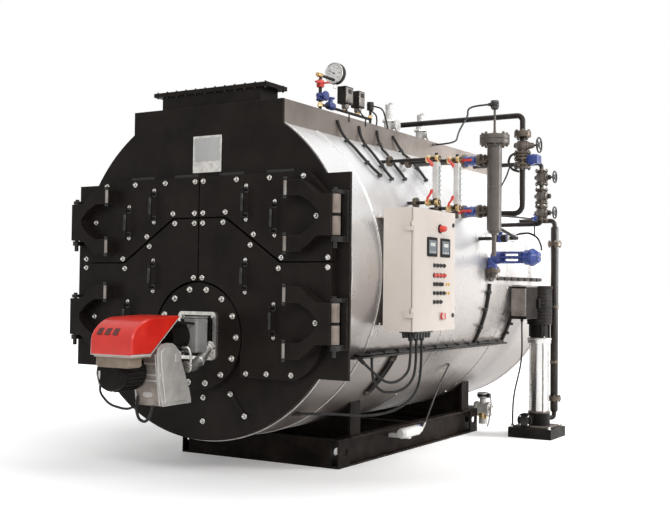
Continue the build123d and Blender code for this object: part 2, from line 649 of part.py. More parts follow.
pump_route = [(1200, 2800, 985), (1200, 2800, 910), (1204, 2796, 816), (1203, 2797, 723), (1190, 2807, 631),
              (1165, 2824, 542), (1135, 2846, 455), (1108, 2868, 370), (1094, 2878, 279), (1090, 2880, 185),
              (1090, 2880, 110)]
loop_short = cord(loop_short_route, 9, "loop_short")
loop_mid = cord(loop_mid_route, 9, "loop_mid")
loop_long = cord(loop_long_route, 9, "loop_long")
probe_cable = cord(probe_route, 7, "probe_cable")
pump_cable = cord(pump_route, 7, "pump_cable")

made = [
    base_frame, saddles, boiler_shell, rear_end, smoke_box, tube_plate, deck, front_plate, flue_neck,
    door_upper_left, door_upper_right, door_lower_left, door_lower_right, hinge_brackets, burner_plate,
    burner_flange, burner_housing, burner_hood, burner_motor, panel_box, panel_door, cable_glands,
    level_gauges, level_column, steam_pipe, stop_valve, stop_wheel, drain_stack, drain_wheel_upper,
    drain_wheel_lower, control_valve, lever_valve, safety_valves, gauge_stand, pump_base, pump_body,
    pump_motor, feed_pipe, blowdown_valve, drain_filter, cable_tray, loop_short, loop_mid, loop_long,
    probe_cable, pump_cable,
]
base_middle = (base_y0 + base_y1) / 2
for piece in made:
    shifted = piece.part.moved(Location((0, -base_middle, 0)))
    shifted.label = piece.part.label
    export_step(shifted, "parts/" + piece.part.label + ".step")
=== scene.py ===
from math import cos, hypot, pi, radians, sin, sqrt

import bmesh
import bpy
from mathutils import Matrix, Vector


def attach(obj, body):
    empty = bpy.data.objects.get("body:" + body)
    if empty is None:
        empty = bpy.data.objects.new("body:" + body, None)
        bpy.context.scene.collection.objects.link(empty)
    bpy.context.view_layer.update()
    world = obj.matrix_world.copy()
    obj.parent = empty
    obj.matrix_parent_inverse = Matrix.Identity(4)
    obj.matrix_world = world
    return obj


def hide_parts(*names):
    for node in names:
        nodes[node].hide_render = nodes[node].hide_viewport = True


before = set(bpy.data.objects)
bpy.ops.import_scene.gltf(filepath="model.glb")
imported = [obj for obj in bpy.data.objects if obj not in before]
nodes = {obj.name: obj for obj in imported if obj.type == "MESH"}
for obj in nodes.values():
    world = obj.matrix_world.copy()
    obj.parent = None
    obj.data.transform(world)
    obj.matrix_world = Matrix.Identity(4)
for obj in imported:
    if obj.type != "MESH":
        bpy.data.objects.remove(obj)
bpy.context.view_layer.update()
X, Y, Z = Vector((1, 0, 0)), Vector((0, 1, 0)), Vector((0, 0, 1))

# Places and sizes of the shapes are in millimetres. A place's y is counted from the front plate's face,
# and at() moves it to the base's middle.
FRONT = -1852
DRUM_R = 1142
DRUM_Z = 1364


def at(x, y, z):
    return Vector((x, y + FRONT, z))


def metres(place):
    return Vector([v / 1000 for v in place])


def add_object(name, data):
    made = bpy.data.objects.new(name, data)
    bpy.context.scene.collection.objects.link(made)
    return made


# Camera
yaw, pitch, roll = radians(31.0715), radians(1.8313), radians(0.6215)
ahead = Vector((-sin(yaw) * cos(pitch), cos(yaw) * cos(pitch), sin(pitch)))
level = Vector((cos(yaw), sin(yaw), 0))
rise = level.cross(ahead)
right = level * cos(roll) + rise * sin(roll)
upward = rise * cos(roll) - level * sin(roll)
lens = bpy.data.cameras.new("camera")
lens.lens = 55.47
lens.sensor_width = 36
lens.clip_end = 200
camera = add_object("camera", lens)
turn = Matrix((right, upward, -ahead)).transposed().to_4x4()
camera.matrix_world = Matrix.Translation(metres(at(4350.5, -5499.9, 1244))) @ turn
bpy.context.scene.camera = camera


# Materials
class Paint:
    """A node material with colour variation, varied gloss and a bump, in object coordinates."""

    def __init__(self, name, metal=0.0, coat=0.0, shine=0.5):
        self.mat = bpy.data.materials.new(name)
        self.mat.use_nodes = True
        self.tree = self.mat.node_tree
        self.shader = self.tree.nodes["Principled BSDF"]
        self.shader.inputs["Metallic"].default_value = metal
        self.shader.inputs["Specular IOR Level"].default_value = shine
        if coat:
            self.shader.inputs["Coat Weight"].default_value = coat
            self.shader.inputs["Coat Roughness"].default_value = 0.12
        self.coord = self.tree.nodes.new("ShaderNodeTexCoord").outputs["Object"]

    def link(self, a, b):
        self.tree.links.new(a, b)

    def noise(self, scale, detail=5.0, stretch=(1, 1, 1), rough=0.55):
        place = self.tree.nodes.new("ShaderNodeMapping")
        place.inputs["Scale"].default_value = stretch
        self.link(self.coord, place.inputs["Vector"])
        n = self.tree.nodes.new("ShaderNodeTexNoise")
        n.inputs["Scale"].default_value = scale
        n.inputs["Detail"].default_value = detail
        n.inputs["Roughness"].default_value = rough
        self.link(place.outputs["Vector"], n.inputs["Vector"])
        return n.outputs["Fac"]

    def ramp(self, value, stops):
        r = self.tree.nodes.new("ShaderNodeValToRGB")
        while len(r.color_ramp.elements) < len(stops):
            r.color_ramp.elements.new(0.5)
        for e, (place, colour) in zip(r.color_ramp.elements, stops):
            e.position = place
            e.color = (*colour, 1)
        self.link(value, r.inputs["Fac"])
        return r.outputs["Color"]

    def spread(self, value, low, high, to_low, to_high):
        m = self.tree.nodes.new("ShaderNodeMapRange")
        for k, v in (("From Min", low), ("From Max", high), ("To Min", to_low), ("To Max", to_high)):
            m.inputs[k].default_value = v
        self.link(value, m.inputs["Value"])
        return m.outputs["Result"]

    def mix(self, a, b, factor):
        m = self.tree.nodes.new("ShaderNodeMix")
        m.data_type = "RGBA"
        for socket, value in ((m.inputs[6], a), (m.inputs[7], b), (m.inputs[0], factor)):
            if isinstance(value, (tuple, float)):
                socket.default_value = (*value, 1) if isinstance(value, tuple) else value
            else:
                self.link(value, socket)
        return m.outputs[2]

    def axis(self, name):
        s = self.tree.nodes.new("ShaderNodeSeparateXYZ")
        self.link(self.coord, s.inputs[0])
        return s.outputs[name]

    def maths(self, kind, a, b=0.0):
        m = self.tree.nodes.new("ShaderNodeMath")
        m.operation = kind
        for socket, value in zip(m.inputs, (a, b)):
            if isinstance(value, (int, float)):
                socket.default_value = value
            else:
                self.link(value, socket)
        return m.outputs[0]

    def edges(self):
        """High where the surface bends sharply, as on worn edges."""
        b = self.tree.nodes.new("ShaderNodeBevel")
        b.samples = 4
        b.inputs["Radius"].default_value = 0.004
        g = self.tree.nodes.new("ShaderNodeNewGeometry")
        d = self.tree.nodes.new("ShaderNodeVectorMath")
        d.operation = "DOT_PRODUCT"
        self.link(b.outputs[0], d.inputs[0])
        self.link(g.outputs["Normal"], d.inputs[1])
        return self.spread(d.outputs["Value"], 0.98, 0.8, 0.0, 1.0)

    def colour(self, c):
        self.link(c, self.shader.inputs["Base Color"])

    def gloss(self, value, low, high):
        self.link(self.spread(value, 0.3, 0.7, low, high), self.shader.inputs["Roughness"])

    def bump(self, value, strength=0.2, depth=0.001):
        b = self.tree.nodes.new("ShaderNodeBump")
        b.inputs["Strength"].default_value = strength
        b.inputs["Distance"].default_value = depth
        self.link(value, b.inputs["Height"])
        self.link(b.outputs["Normal"], self.shader.inputs["Normal"])


def painted(name, dark, light, rough, worn=None, metal=0.0, coat=0.0, grain=7.0, orange=260.0,
        strength=0.12, dust=None, streaks=0.0, shine=0.5, split=None):
    """Paint between two tones, with worn edges, streaks and dust where asked for. A split is the
    height in metres where a second tone starts, the height where it is full, and that tone."""
    p = Paint(name, metal, coat, shine)
    cloud = p.noise(grain, 7)
    c = p.ramp(cloud, [(0.3, dark), (0.7, light)])
    if streaks:
        runs = p.noise(9, 6, (3.2, 3.2, 0.25))
        c = p.mix(c, light, p.spread(runs, 0.52, 0.75, 0.0, streaks))
    if dust:
        patches = p.noise(3.1, 8, rough=0.7)
        low = p.spread(p.axis("Z"), 0.0, 0.5, 0.75, 0.12)
        c = p.mix(c, dust, p.maths("MULTIPLY", low, p.spread(patches, 0.42, 0.7, 0.0, 1.0)))
    if worn:
        c = p.mix(c, worn, p.maths("MULTIPLY", p.edges(), p.spread(p.noise(22, 4), 0.35, 0.6, 0.1, 0.85)))
    if split:
        clear_z, full_z, tone = split
        c = p.mix(c, tone, p.spread(p.axis("Z"), clear_z, full_z, 0.0, 1.0))
    p.colour(c)
    p.gloss(p.noise(13, 5), rough - 0.07, rough + 0.1)
    p.bump(p.noise(orange, 3), strength, 0.0008)
    return p.mat


def brushed(name, dark, light, rough, stretch, scale):
    p = Paint(name, metal=1.0)
    lines = p.noise(scale, 6, stretch, 0.65)
    cloud = p.noise(2.6, 6)
    c = p.mix(p.ramp(lines, [(0.3, dark), (0.7, light)]), light, p.spread(cloud, 0.3, 0.7, 0.0, 0.5))
    p.colour(c)
    p.gloss(lines, rough - 0.05, rough + 0.1)
    p.bump(lines, 0.06, 0.0005)
    return p.mat


def cladding_sheet():
    p = Paint("cladding sheet", 0.62)
    lines = p.noise(40, 5, (0.35, 9.0, 0.35), 0.65)
    cloud = p.noise(1.3, 6, (1, 1.4, 1))
    tone = p.ramp(p.spread(p.axis("Z"), 0.2, 2.5, 0.0, 1.0), [
        (0.0, (0.12, 0.095, 0.082)), (0.22, (0.22, 0.19, 0.172)), (0.5, (0.55, 0.52, 0.5)),
        (0.68, (0.8, 0.8, 0.8)), (1.0, (0.9, 0.9, 0.905))])  # painted shade and painted reflection: darker towards the floor, near white at the top, as in the photograph
    tone = p.mix(tone, (0.45, 0.43, 0.42), p.spread(lines, 0.42, 0.8, 0.0, 0.16))
    tone = p.mix(tone, (0.36, 0.3, 0.26), p.spread(cloud, 0.52, 0.78, 0.0, 0.35))
    p.colour(tone)
    p.gloss(cloud, 0.24, 0.36)
    dents = p.maths("ADD", p.maths("MULTIPLY", p.noise(1.7, 2), 6.0), p.maths("MULTIPLY", lines, 0.1))
    p.bump(dents, 0.28, 0.002)
    return p.mat


def glass(name, tint):
    p = Paint(name)
    p.colour(p.ramp(p.noise(30, 3), [(0.3, tuple(v * 0.85 for v in tint)), (0.7, tint)]))
    p.gloss(p.noise(60, 3), 0.03, 0.09)
    p.shader.inputs["Coat Weight"].default_value = 1.0
    return p.mat


black = painted("satin black paint", (0.0096, 0.0077, 0.0068), (0.019, 0.0153, 0.0134), 0.4,
    worn=(0.09, 0.072, 0.062), grain=5, streaks=0.25, shine=0.07)
dark_pin = painted("dark pins", (0.012, 0.011, 0.01), (0.026, 0.023, 0.021), 0.36, worn=(0.22, 0.2, 0.18),
    shine=0.25)
handle_black = painted("handle black", (0.008, 0.008, 0.008), (0.018, 0.018, 0.018), 0.28,
    worn=(0.22, 0.21, 0.2), shine=0.3)
cladding = cladding_sheet()
fascia = painted("grey brown fascia", (0.135, 0.11, 0.094), (0.205, 0.173, 0.15), 0.5,
    worn=(0.32, 0.29, 0.26), grain=4, streaks=0.35)
rail = painted("rail paint", (0.005, 0.0036, 0.003), (0.013, 0.0095, 0.0078), 0.45,
    worn=(0.13, 0.105, 0.088), grain=6, dust=(0.034, 0.026, 0.021), streaks=0.2, shine=0.04)
red = painted("gloss red cowl", (0.62, 0.014, 0.007), (0.78, 0.026, 0.012), 0.34, worn=(0.9, 0.25, 0.18),
    coat=0.15, orange=380, strength=0.05)
cast = painted("light grey casting", (0.38, 0.36, 0.34), (0.56, 0.54, 0.51), 0.5, worn=(0.72, 0.7, 0.67),
    metal=0.35, grain=10, orange=420, strength=0.4)
cast_dark = painted("brown grey casting", (0.06, 0.048, 0.042), (0.15, 0.125, 0.108), 0.5,
    worn=(0.4, 0.36, 0.32), metal=0.35, grain=12, orange=420, strength=0.4, shine=0.3)
cast_warm = painted("warm grey casting", (0.16, 0.128, 0.108), (0.3, 0.25, 0.215), 0.5,
    worn=(0.52, 0.46, 0.41), metal=0.2, grain=12, orange=420, strength=0.4, shine=0.3)
core_grey = painted("worn grey casting", (0.22, 0.185, 0.16), (0.4, 0.35, 0.31), 0.5, worn=(0.6, 0.55, 0.5),
    metal=0.2, grain=12, orange=420, strength=0.4, shine=0.3)
plate_grey = painted("satin plate", (0.4, 0.4, 0.39), (0.47, 0.47, 0.46), 0.36, worn=(0.6, 0.6, 0.58),
    metal=0.3, grain=6, shine=0.3)
grey = painted("grey box paint", (0.22, 0.215, 0.21), (0.33, 0.325, 0.32), 0.42, worn=(0.55, 0.54, 0.53))
cover_beige = painted("beige motor cover", (0.2, 0.155, 0.115), (0.32, 0.26, 0.2), 0.45,
    worn=(0.5, 0.44, 0.38), grain=11, shine=0.3)
cream = painted("cream plastic", (0.5, 0.44, 0.36), (0.66, 0.6, 0.5), 0.4)
motor = painted("dark motor paint", (0.006, 0.0052, 0.0048), (0.017, 0.0145, 0.013), 0.42,
    worn=(0.12, 0.1, 0.088), orange=350, strength=0.25, shine=0.06)
beige = painted("pale powder coat", (0.62, 0.55, 0.495), (0.7, 0.63, 0.57), 0.4, worn=(0.76, 0.7, 0.64),
    grain=2.5, orange=600, strength=0.1)
pipe = painted("black pipe", (0.008, 0.006, 0.0052), (0.022, 0.017, 0.0145), 0.42, worn=(0.17, 0.14, 0.115),
    grain=14, shine=0.2)
column_paint = painted("dark column paint", (0.05, 0.038, 0.032), (0.095, 0.078, 0.066), 0.4,
    worn=(0.3, 0.26, 0.22), grain=8, streaks=0.3)
flange_steel = painted("tarnished flange", (0.04, 0.03, 0.022), (0.115, 0.088, 0.066), 0.42,
    worn=(0.4, 0.34, 0.27), metal=0.5, grain=18, shine=0.3)
blue_form = {"dark": (0.007, 0.02, 0.14), "light": (0.016, 0.048, 0.26), "rough": 0.3,
    "worn": (0.16, 0.23, 0.48), "coat": 0.3, "grain": 16, "orange": 320, "strength": 0.25}
blue = painted("blue valve paint", **blue_form)
blue_over_dark = painted("blue valve on a dark foot", split=(1.402, 1.398, (0.024, 0.018, 0.015)),
    **blue_form)
brass = painted("worn brass", (0.42, 0.28, 0.12), (0.7, 0.52, 0.28), 0.32, worn=(0.9, 0.78, 0.5), metal=0.9,
    grain=22)
silver = painted("zinc steel", (0.42, 0.4, 0.37), (0.68, 0.66, 0.63), 0.3, worn=(0.86, 0.85, 0.83),
    metal=0.85, grain=30)
white = painted("light grey paint", (0.5, 0.49, 0.47), (0.68, 0.67, 0.65), 0.4, worn=(0.8, 0.8, 0.78),
    grain=14)
switch_grey = painted("switch box metal", (0.15, 0.13, 0.115), (0.3, 0.27, 0.25), 0.34,
    worn=(0.6, 0.58, 0.55), metal=0.7)
wheel_black = painted("black wheel paint", (0.009, 0.008, 0.008), (0.024, 0.022, 0.02), 0.34,
    worn=(0.18, 0.16, 0.14), shine=0.3)
sleeve = brushed("polished sleeve", (0.5, 0.49, 0.48), (0.72, 0.71, 0.7), 0.2, (1, 1, 0.05), 90)
cable = painted("cable jacket", (0.008, 0.008, 0.008), (0.022, 0.02, 0.019), 0.4, grain=20, orange=500,
    strength=0.2, shine=0.25)
filter_white = painted("white plastic", (0.6, 0.59, 0.56), (0.76, 0.75, 0.72), 0.32, coat=0.3, grain=9)
filter_with_pipe = painted("white plastic under a dark pipe", (0.6, 0.59, 0.56), (0.76, 0.75, 0.72), 0.32,
    coat=0.3, grain=9, split=(0.212, 0.218, (0.022, 0.018, 0.016)))
lever_red = painted("red lever plastic", (0.5, 0.02, 0.012), (0.72, 0.045, 0.025), 0.3, coat=0.4, grain=30)
yellow = painted("amber button", (0.55, 0.3, 0.03), (0.75, 0.45, 0.06), 0.3, coat=0.4, grain=30)
red_shadow = painted("shadowed red", (0.055, 0.006, 0.004), (0.115, 0.011, 0.008), 0.5)
shadow = painted("shadowed recess", (0.004, 0.004, 0.004), (0.01, 0.009, 0.009), 0.6)
dial = painted("dial enamel", (0.72, 0.72, 0.7), (0.8, 0.8, 0.78), 0.35, coat=0.5, grain=12)
screen = glass("display glass", (0.045, 0.075, 0.1))
gauge_glass = glass("gauge glass", (0.3, 0.33, 0.33))

# The paint that each solid carries
carried = [
    (rail, "base_frame saddles"), (cladding, "boiler_shell smoke_box"), (fascia, "deck"),
    (black, "rear_end tube_plate front_plate flue_neck burner_plate"),
    (black, "door_upper_left door_upper_right door_lower_left door_lower_right"),
    (dark_pin, "hinge_brackets"), (grey, "burner_flange"), (cast, "burner_housing blowdown_valve"),
    (red, "burner_hood"), (motor, "burner_motor pump_base pump_motor"), (beige, "panel_box panel_door"),
    (handle_black, "cable_glands"), (column_paint, "level_column"), (white, "safety_valves"),
    (wheel_black, "stop_wheel drain_wheel_upper drain_wheel_lower"), (sleeve, "pump_body"),
    (pipe, "level_gauges steam_pipe stop_valve drain_stack lever_valve gauge_stand feed_pipe cable_tray"),
    (blue_over_dark, "control_valve"), (filter_with_pipe, "drain_filter"),
]
for paint, names in carried:
    for name in names.split():
        nodes[name].data.materials.clear()
        nodes[name].data.materials.append(paint)

# Cords: the route of each in millimetres, its length and its diameter in metres
cords = [
    ("loop_short", [(1265, 600, 905), (1265, 600, 845), (1262, 598, 777), (1257, 590, 711),
        (1230, 554, 664), (1194, 506, 634), (1155, 453, 642), (1122, 410, 682), (1091, 368, 725),
        (1064, 332, 765)], 0.583, 0.018),
    ("loop_mid", [(1265, 680, 905), (1265, 680, 825), (1265, 674, 738), (1260, 651, 654), (1229, 598, 593),
        (1178, 532, 568), (1120, 473, 573), (1082, 436, 628), (1070, 425, 712), (1070, 425, 790)], 0.741,
        0.018),
    ("loop_long", [(1265, 760, 905), (1265, 760, 815), (1262, 758, 701), (1252, 746, 590), (1209, 699, 499),
        (1143, 625, 444), (1070, 543, 417), (994, 458, 411), (918, 374, 420), (848, 286, 430),
        (772, 204, 432), (700, 150, 432)], 1.191, 0.018),
    ("probe_cable", [(1366, 1640, 2630), (1266, 1640, 2630), (1178, 1692, 2621), (1134, 1800, 2589),
        (1058, 1887, 2549), (984, 1977, 2512), (921, 2078, 2482), (864, 2185, 2459), (760, 2230, 2450),
        (660, 2230, 2450)], 1.016, 0.014),
    ("pump_cable", [(1200, 2800, 985), (1200, 2800, 910), (1204, 2796, 816), (1203, 2797, 723),
        (1190, 2807, 631), (1165, 2824, 542), (1135, 2846, 455), (1108, 2868, 370), (1094, 2878, 279),
        (1090, 2880, 185), (1090, 2880, 110)], 0.897, 0.014),
]
for name, route, length, thick in cords:
    line = bpy.data.curves.new(name + "_line", "CURVE")
    line.dimensions = "3D"
    spline = line.splines.new("NURBS")
    spline.points.add(len(route) - 1)
    for point, place in zip(spline.points, route):
        point.co = (*metres(at(*place)), 1)
    spline.order_u = 3
    spline.use_endpoint_u = True
    line.resolution_u = 8
    line.bevel_depth = thick / 2
    line.bevel_resolution = 5
    line.use_fill_caps = True
    line.materials.append(cable)
    cord = add_object(name + "_cord", line)
    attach(cord, "boiler")
    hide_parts(name)


# Shapes. The slot that goes with each paint, where a piece names no other
slot_paints = {
    "brass": [brass, flange_steel],
    "burner_grey": [grey, switch_grey],
    "cable_black": [cable],
    "cast_grey": [cast, cast_warm, core_grey, cover_beige],
    "cladding": [cladding],
    "column_brown": [column_paint],
    "dark_paint": [black, shadow],
    "filter_white": [filter_white],
    "motor_dark": [handle_black, motor, red_shadow],
    "pipe_black": [pipe],
    "rail_paint": [rail],
    "red_gloss": [lever_red, red],
    "stainless": [silver],
    "valve_blue": [blue],
    "wheel_black": [cast_dark, wheel_black],
    "white_metal": [cream, dial, plate_grey, white],
}
usual_slot = {paint.name: slot for slot, paints in slot_paints.items() for paint in paints}
SHARP = radians(35)
FIRST_BOLT = 0.4


class Shape:
    """A mesh that grows from turned, swept and plate forms."""

    def __init__(self):
        self.verts = []
        self.faces = []

    def put(self, p):
        self.verts.append(metres(p))
        return len(self.verts) - 1

    def join(self, a, b):
        """Faces between two rings, or between a ring and a single point."""
        n = max(len(a), len(b))
        for i in range(n):
            j = (i + 1) % n
            if len(a) == 1:
                self.faces.append((a[0], b[j], b[i]))
            elif len(b) == 1:
                self.faces.append((a[i], a[j], b[0]))
            else:
                self.faces.append((a[i], a[j], b[j], b[i]))

    def turned(self, p, d, profile, n=24, closed=True):
        """A profile of radius and height, turned about d, with its ends closed to the axis."""
        if closed and profile[0][0]:
            profile = [(0, profile[0][1])] + profile
        if closed and profile[-1][0]:
            profile = profile + [(0, profile[-1][1])]
        u, v, w = across(d)
        rings = []
        for r, h in profile:
            places = around(n, r) if r else [(0, 0)]
            rings.append([self.put(p + w * h + u * a + v * b) for a, b in places])
        for a, b in zip(rings, rings[1:]):
            self.join(a, b)

    def disc(self, p, d, r, t, edge=1.5, n=28):
        e = min(edge, t / 3, r / 3)
        self.turned(p, d, [(r - e, 0), (r, e), (r, t - e), (r - e, t)], n)

    def bolt(self, p, d, size, washer=True):
        h = 0.0
        if washer:
            self.turned(p, d, [(size * 0.82, 0), (size * 0.85, 1.2), (size * 0.8, 3)], 16)
            h = 3
        r = size * 0.577
        self.turned(p, d, [(r, h), (r, h + size * 0.5), (r * 0.86, h + size * 0.62)], 6)
        self.turned(p, d, [(0, h + size * 0.5), (r * 0.82, h + size * 0.55), (r * 0.72, h + size * 0.75),
            (r * 0.42, h + size * 0.87), (0, h + size * 0.9)], 12)

    def flange(self, p, d, r, t, bolts=4, size=16):
        self.disc(p, d, r, t, 2, 32)
        u, v, w = across(d)
        for a, b in around(bolts, r - size * 0.95, FIRST_BOLT):
            q = p + u * a + v * b
            self.bolt(q + w * t, w, size, False)
            self.bolt(q, -w, size, False)

    def plate(self, outline, origin, u, v, depth, edge=0.0):
        """An outline in the plane of u and v, raised along their cross product, with bevelled rims."""
        u, v = Vector(u), Vector(v)
        w = u.cross(v)
        points = [origin + u * a + v * b for a, b in outline]
        middle = sum(points, Vector()) / len(points)
        e = min(edge, depth * 0.6)
        rings = []
        steps = ((e, 0), (0, e), (0, depth - e), (e, depth)) if e else ((0, 0), (0, depth))
        for inset, h in steps:
            rings.append([self.put(q + (middle - q).normalized() * inset + w * h) for q in points])
        for a, b in zip(rings, rings[1:]):
            self.join(a, b)
        self.faces.append(tuple(reversed(rings[0])))
        self.faces.append(tuple(rings[-1]))

    def brick(self, middle, size, edge=2):
        """A box with rounded upright edges and bevelled rims."""
        sx, sy, sz = size
        r = min(edge, sx / 3, sy / 3)
        self.plate(rounded(sx, sy, r), middle - Z * (sz / 2), X, Y, sz, edge)

    def tube(self, points, r, n=12):
        pts = [Vector(p) for p in points]
        rings = []
        u = None
        for i, p in enumerate(pts):
            d = (pts[min(i + 1, len(pts) - 1)] - pts[max(i - 1, 0)]).normalized()
            if u is None:
                u = across(d)[0]
            u = (u - d * u.dot(d)).normalized()
            v = d.cross(u)
            rings.append([self.put(p + u * a + v * b) for a, b in around(n, r)])
        for a, b in zip(rings, rings[1:]):
            self.join(a, b)
        self.faces.append(tuple(reversed(rings[0])))
        self.faces.append(tuple(rings[-1]))

    def hose(self, points, r, n=12, times=3):
        """A tube along places with its corners eased."""
        self.tube(eased([at(*p) for p in points], times), r, n)

    def hoop(self, p, d, big, small, n=36, m=10):
        u, v, w = across(d)
        rings = []
        for x, y in around(n, 1):
            out = u * x + v * y
            rings.append([self.put(p + out * (big + a) + w * b) for a, b in around(m, small)])
        for a, b in zip(rings, rings[1:] + rings[:1]):
            self.join(a, b)

    def done(self, name, paint, body="boiler", slot="usual", replaces=()):
        """Makes the object, and empties the shape for the next one."""
        mesh = bpy.data.meshes.new(name)
        mesh.from_pydata([tuple(v) for v in self.verts], [], self.faces)
        work = bmesh.new()
        work.from_mesh(mesh)
        bmesh.ops.recalc_face_normals(work, faces=work.faces)
        work.to_mesh(mesh)
        work.free()
        mesh.shade_smooth()
        mesh.set_sharp_from_angle(angle=SHARP)
        mesh.materials.append(paint)
        made = add_object(name, mesh)
        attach(made, body)
        if slot == "usual":
            slot = usual_slot.get(paint.name)
        if replaces:
            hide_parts(*replaces)
        self.__init__()


def around(n, r, start=0.0):
    """Places on a circle, n of them from the angle start on."""
    angles = [start + 2 * pi * i / n for i in range(n)]
    return [(r * cos(a), r * sin(a)) for a in angles]


def side_on(a):
    """The direction at angle a in the plane of the front."""
    return Vector((cos(a), 0, sin(a)))


def across(d):
    """Two directions square to d, and d itself at length 1."""
    w = Vector(d).normalized()
    side = Z if abs(w.z) < 0.9 else X
    u = side.cross(w).normalized()
    return u, w.cross(u), w


def rounded(w, h, r, n=5):
    """An upright rectangle around its middle, with n points on each round corner."""
    points = []
    for quarter, (kx, ky) in enumerate(((1, 1), (-1, 1), (-1, -1), (1, -1))):
        for i in range(n):
            a = radians(90 * quarter + 90 * i / (n - 1))
            points.append((kx * (w / 2 - r) + r * cos(a), ky * (h / 2 - r) + r * sin(a)))
    return points


def eased(points, times=3):
    """Rounds the corners of a rigid run of pipe or conduit."""
    pts = [Vector(p) for p in points]
    for _ in range(times):
        new = [pts[0]]
        for a, b in zip(pts, pts[1:]):
            new += [a * 0.8 + b * 0.2, a * 0.2 + b * 0.8]
        new.append(pts[-1])
        pts = new
    return pts


def skin(y, z, proud):
    """A point at that height, so far proud of the drum's side."""
    dz = z - DRUM_Z
    reach = DRUM_R + proud
    x = sqrt(max(reach * reach - dz * dz, 0.0))
    return at(x, y, z)


# This shape takes the vertices of one piece after the other
s = Shape()

# Door bolts, by the body that they ride on
door_face = -55
UPPER_HINGE, LOWER_HINGE = 1700, 1030
upper_top = {"left": (-829, -565, -294, -34), "right": (36, 310, 572, 832)}
leaf_bolts = {}
for side, hand in ((-1, "left"), (1, "right")):
    places = ((36, 1742), (222, 1744), (452, 1592), (670, 1440), (1018, 1440))
    top = [(x, 1955) for x in upper_top[hand]]
    leaf_bolts["door_upper_" + hand] = top + [(side * x, z) for x, z in places]
for side, hand in ((-1, "left"), (1, "right")):
    places = ((36, 1675), (205, 1677), (428, 1524), (650, 1372), (1018, 1378), (36, 1310), (405, 690),
        (566, 695), (755, 697))
    leaf_bolts["door_lower_" + hand] = [(side * x, z) for x, z in places]
for leaf, places in leaf_bolts.items():
    for x, z in places:
        s.bolt(at(x, door_face, z), -Y, 21)
    side = -1 if "left" in leaf else 1
    s.bolt(at(side * 930, door_face, UPPER_HINGE if "upper" in leaf else LOWER_HINGE), -Y, 21)
    s.done(leaf + "_bolts", silver, leaf)

# Bar handles, the collars and sleeves on the hinge arms, and the knuckles' sleeves
pin_x, pin_y, arm_x, arm_y = 1088, -88, 752, -140
for leaf in leaf_bolts:
    side = -1 if "left" in leaf else 1
    if "upper" in leaf:
        hinge_z, handles = UPPER_HINGE, ((390, 1702, 1898), (617, 1595, 1790))
    else:
        hinge_z, handles = LOWER_HINGE, ((390, 1228, 1415), (617, 940, 1131))
    for x, z0, z1 in handles:
        grip = z1 - z0 - 80
        s.turned(at(side * x, -100, z0 + 40), Z, [(9.5, 0), (12, 4), (12, grip - 4), (9.5, grip)], 16)
        for z in (z0 + 15, z1 - 15):
            s.disc(at(side * x, door_face, z), -Y, 20, 6)
    for dz in (175, -175):
        for k in (-1, 1):
            s.disc(at(side * arm_x, arm_y, hinge_z + dz + k * 60 - 8), Z, 14.5, 16)
    s.done(leaf + "_handles", handle_black, leaf, slot="dark_paint")
    for dz in (175, -175):
        sleeve_form = [(9.5, 0), (12.5, 3), (12.5, 93), (9.5, 96)]
        s.turned(at(side * arm_x, arm_y, hinge_z + dz - 48), Z, sleeve_form, 18)
    s.done(leaf + "_clamp_sleeves", switch_grey, leaf, slot="stainless")
    for z in (hinge_z - 126, hinge_z + 10):
        # Open at both ends, as the pin runs through it
        sleeve_form = [(31.5, 0), (32.5, 0), (33.5, 2), (33.5, 114), (32.5, 116), (31.5, 116)]
        s.turned(at(side * pin_x, pin_y, z), Z, sleeve_form, 36, closed=False)
    s.done(leaf + "_knuckle_sleeve", cast_warm, leaf)
    for x, z0, z1 in handles:
        for z in (z0 - 12, z1 + 12):
            s.bolt(at(side * x, door_face, z), -Y, 16)
    s.done(leaf + "_handle_bolts", silver, leaf)

# Bolts of the round plate, of the strap and of the lower front
for a, b in around(14, 318, pi * 8 / 14):
    s.bolt(at(a, -50, 920 + b), -Y, 24)
for x, z in ((252, 545), (368, 408)):
    s.bolt(at(x, -12, z), -Y, 22)
for x, z in ((17, 508), (16, 349)):
    s.bolt(at(x, 0, z), -Y, 22)
s.done("front_bolts", silver)

# Slots over the doors, the strap and the bare plate
# The slots are thin dark plates of painted shade, standing just proud of the front plate
for x, long in ((-544, 212), (-154.5, 209), (230.5, 205), (617.5, 217)):
    s.plate(rounded(long, 17, 8), at(x, 0.5, 2003), X, Z, 1.8)
s.done("plate_slots", shadow)
run = Vector((116, 0, -137))
along = run.normalized()
s.plate(rounded(run.length + 50, 36, 17), at(310, 0.5, 476.5), along, Z.cross(along).cross(along) * -1,
    12.5, 2)
s.done("front_strap", black)
s.plate(rounded(240, 250, 6), at(22, 0, 2145), X, Z, 4, 1)
s.done("bare_plate", silver)
s.plate(rounded(210, 158, 6), at(22, -4, 2176), X, Z, 3, 1)
s.done("bare_plate_face", plate_grey)
for x in (-88, 132):
    for z in (2030, 2260):
        s.turned(at(x, -4, z), -Y, [(5, 0), (4, 2), (0, 3)], 12)
s.done("plate_rivets", silver)

# Thin bright lips behind the front plate's lower rim; at the far left they sink in so far
# that nothing stands proud of the front plate's width
EDGE = 1139.2
for y, r, t in ((30, DRUM_R + 4, 3.5), (415, DRUM_R + 3, 3)):
    line = []
    for i in range(121):
        a = radians(123 + 294 * i / 120)
        line.append(at(max(r * cos(a), -EDGE), y, DRUM_Z + r * sin(a)))
    s.tube(line, t, 8)
s.done("rim_lips", silver)

# Flue flange: bolts
for i in range(12):
    x = -460 + 920 * i / 11
    for y in (46, 254):
        s.bolt(at(x, y, 2603), Z, 12, False)
        s.bolt(at(x, y, 2575), -Z, 12, False)
s.done("flue_bolts", handle_black, slot="dark_paint")

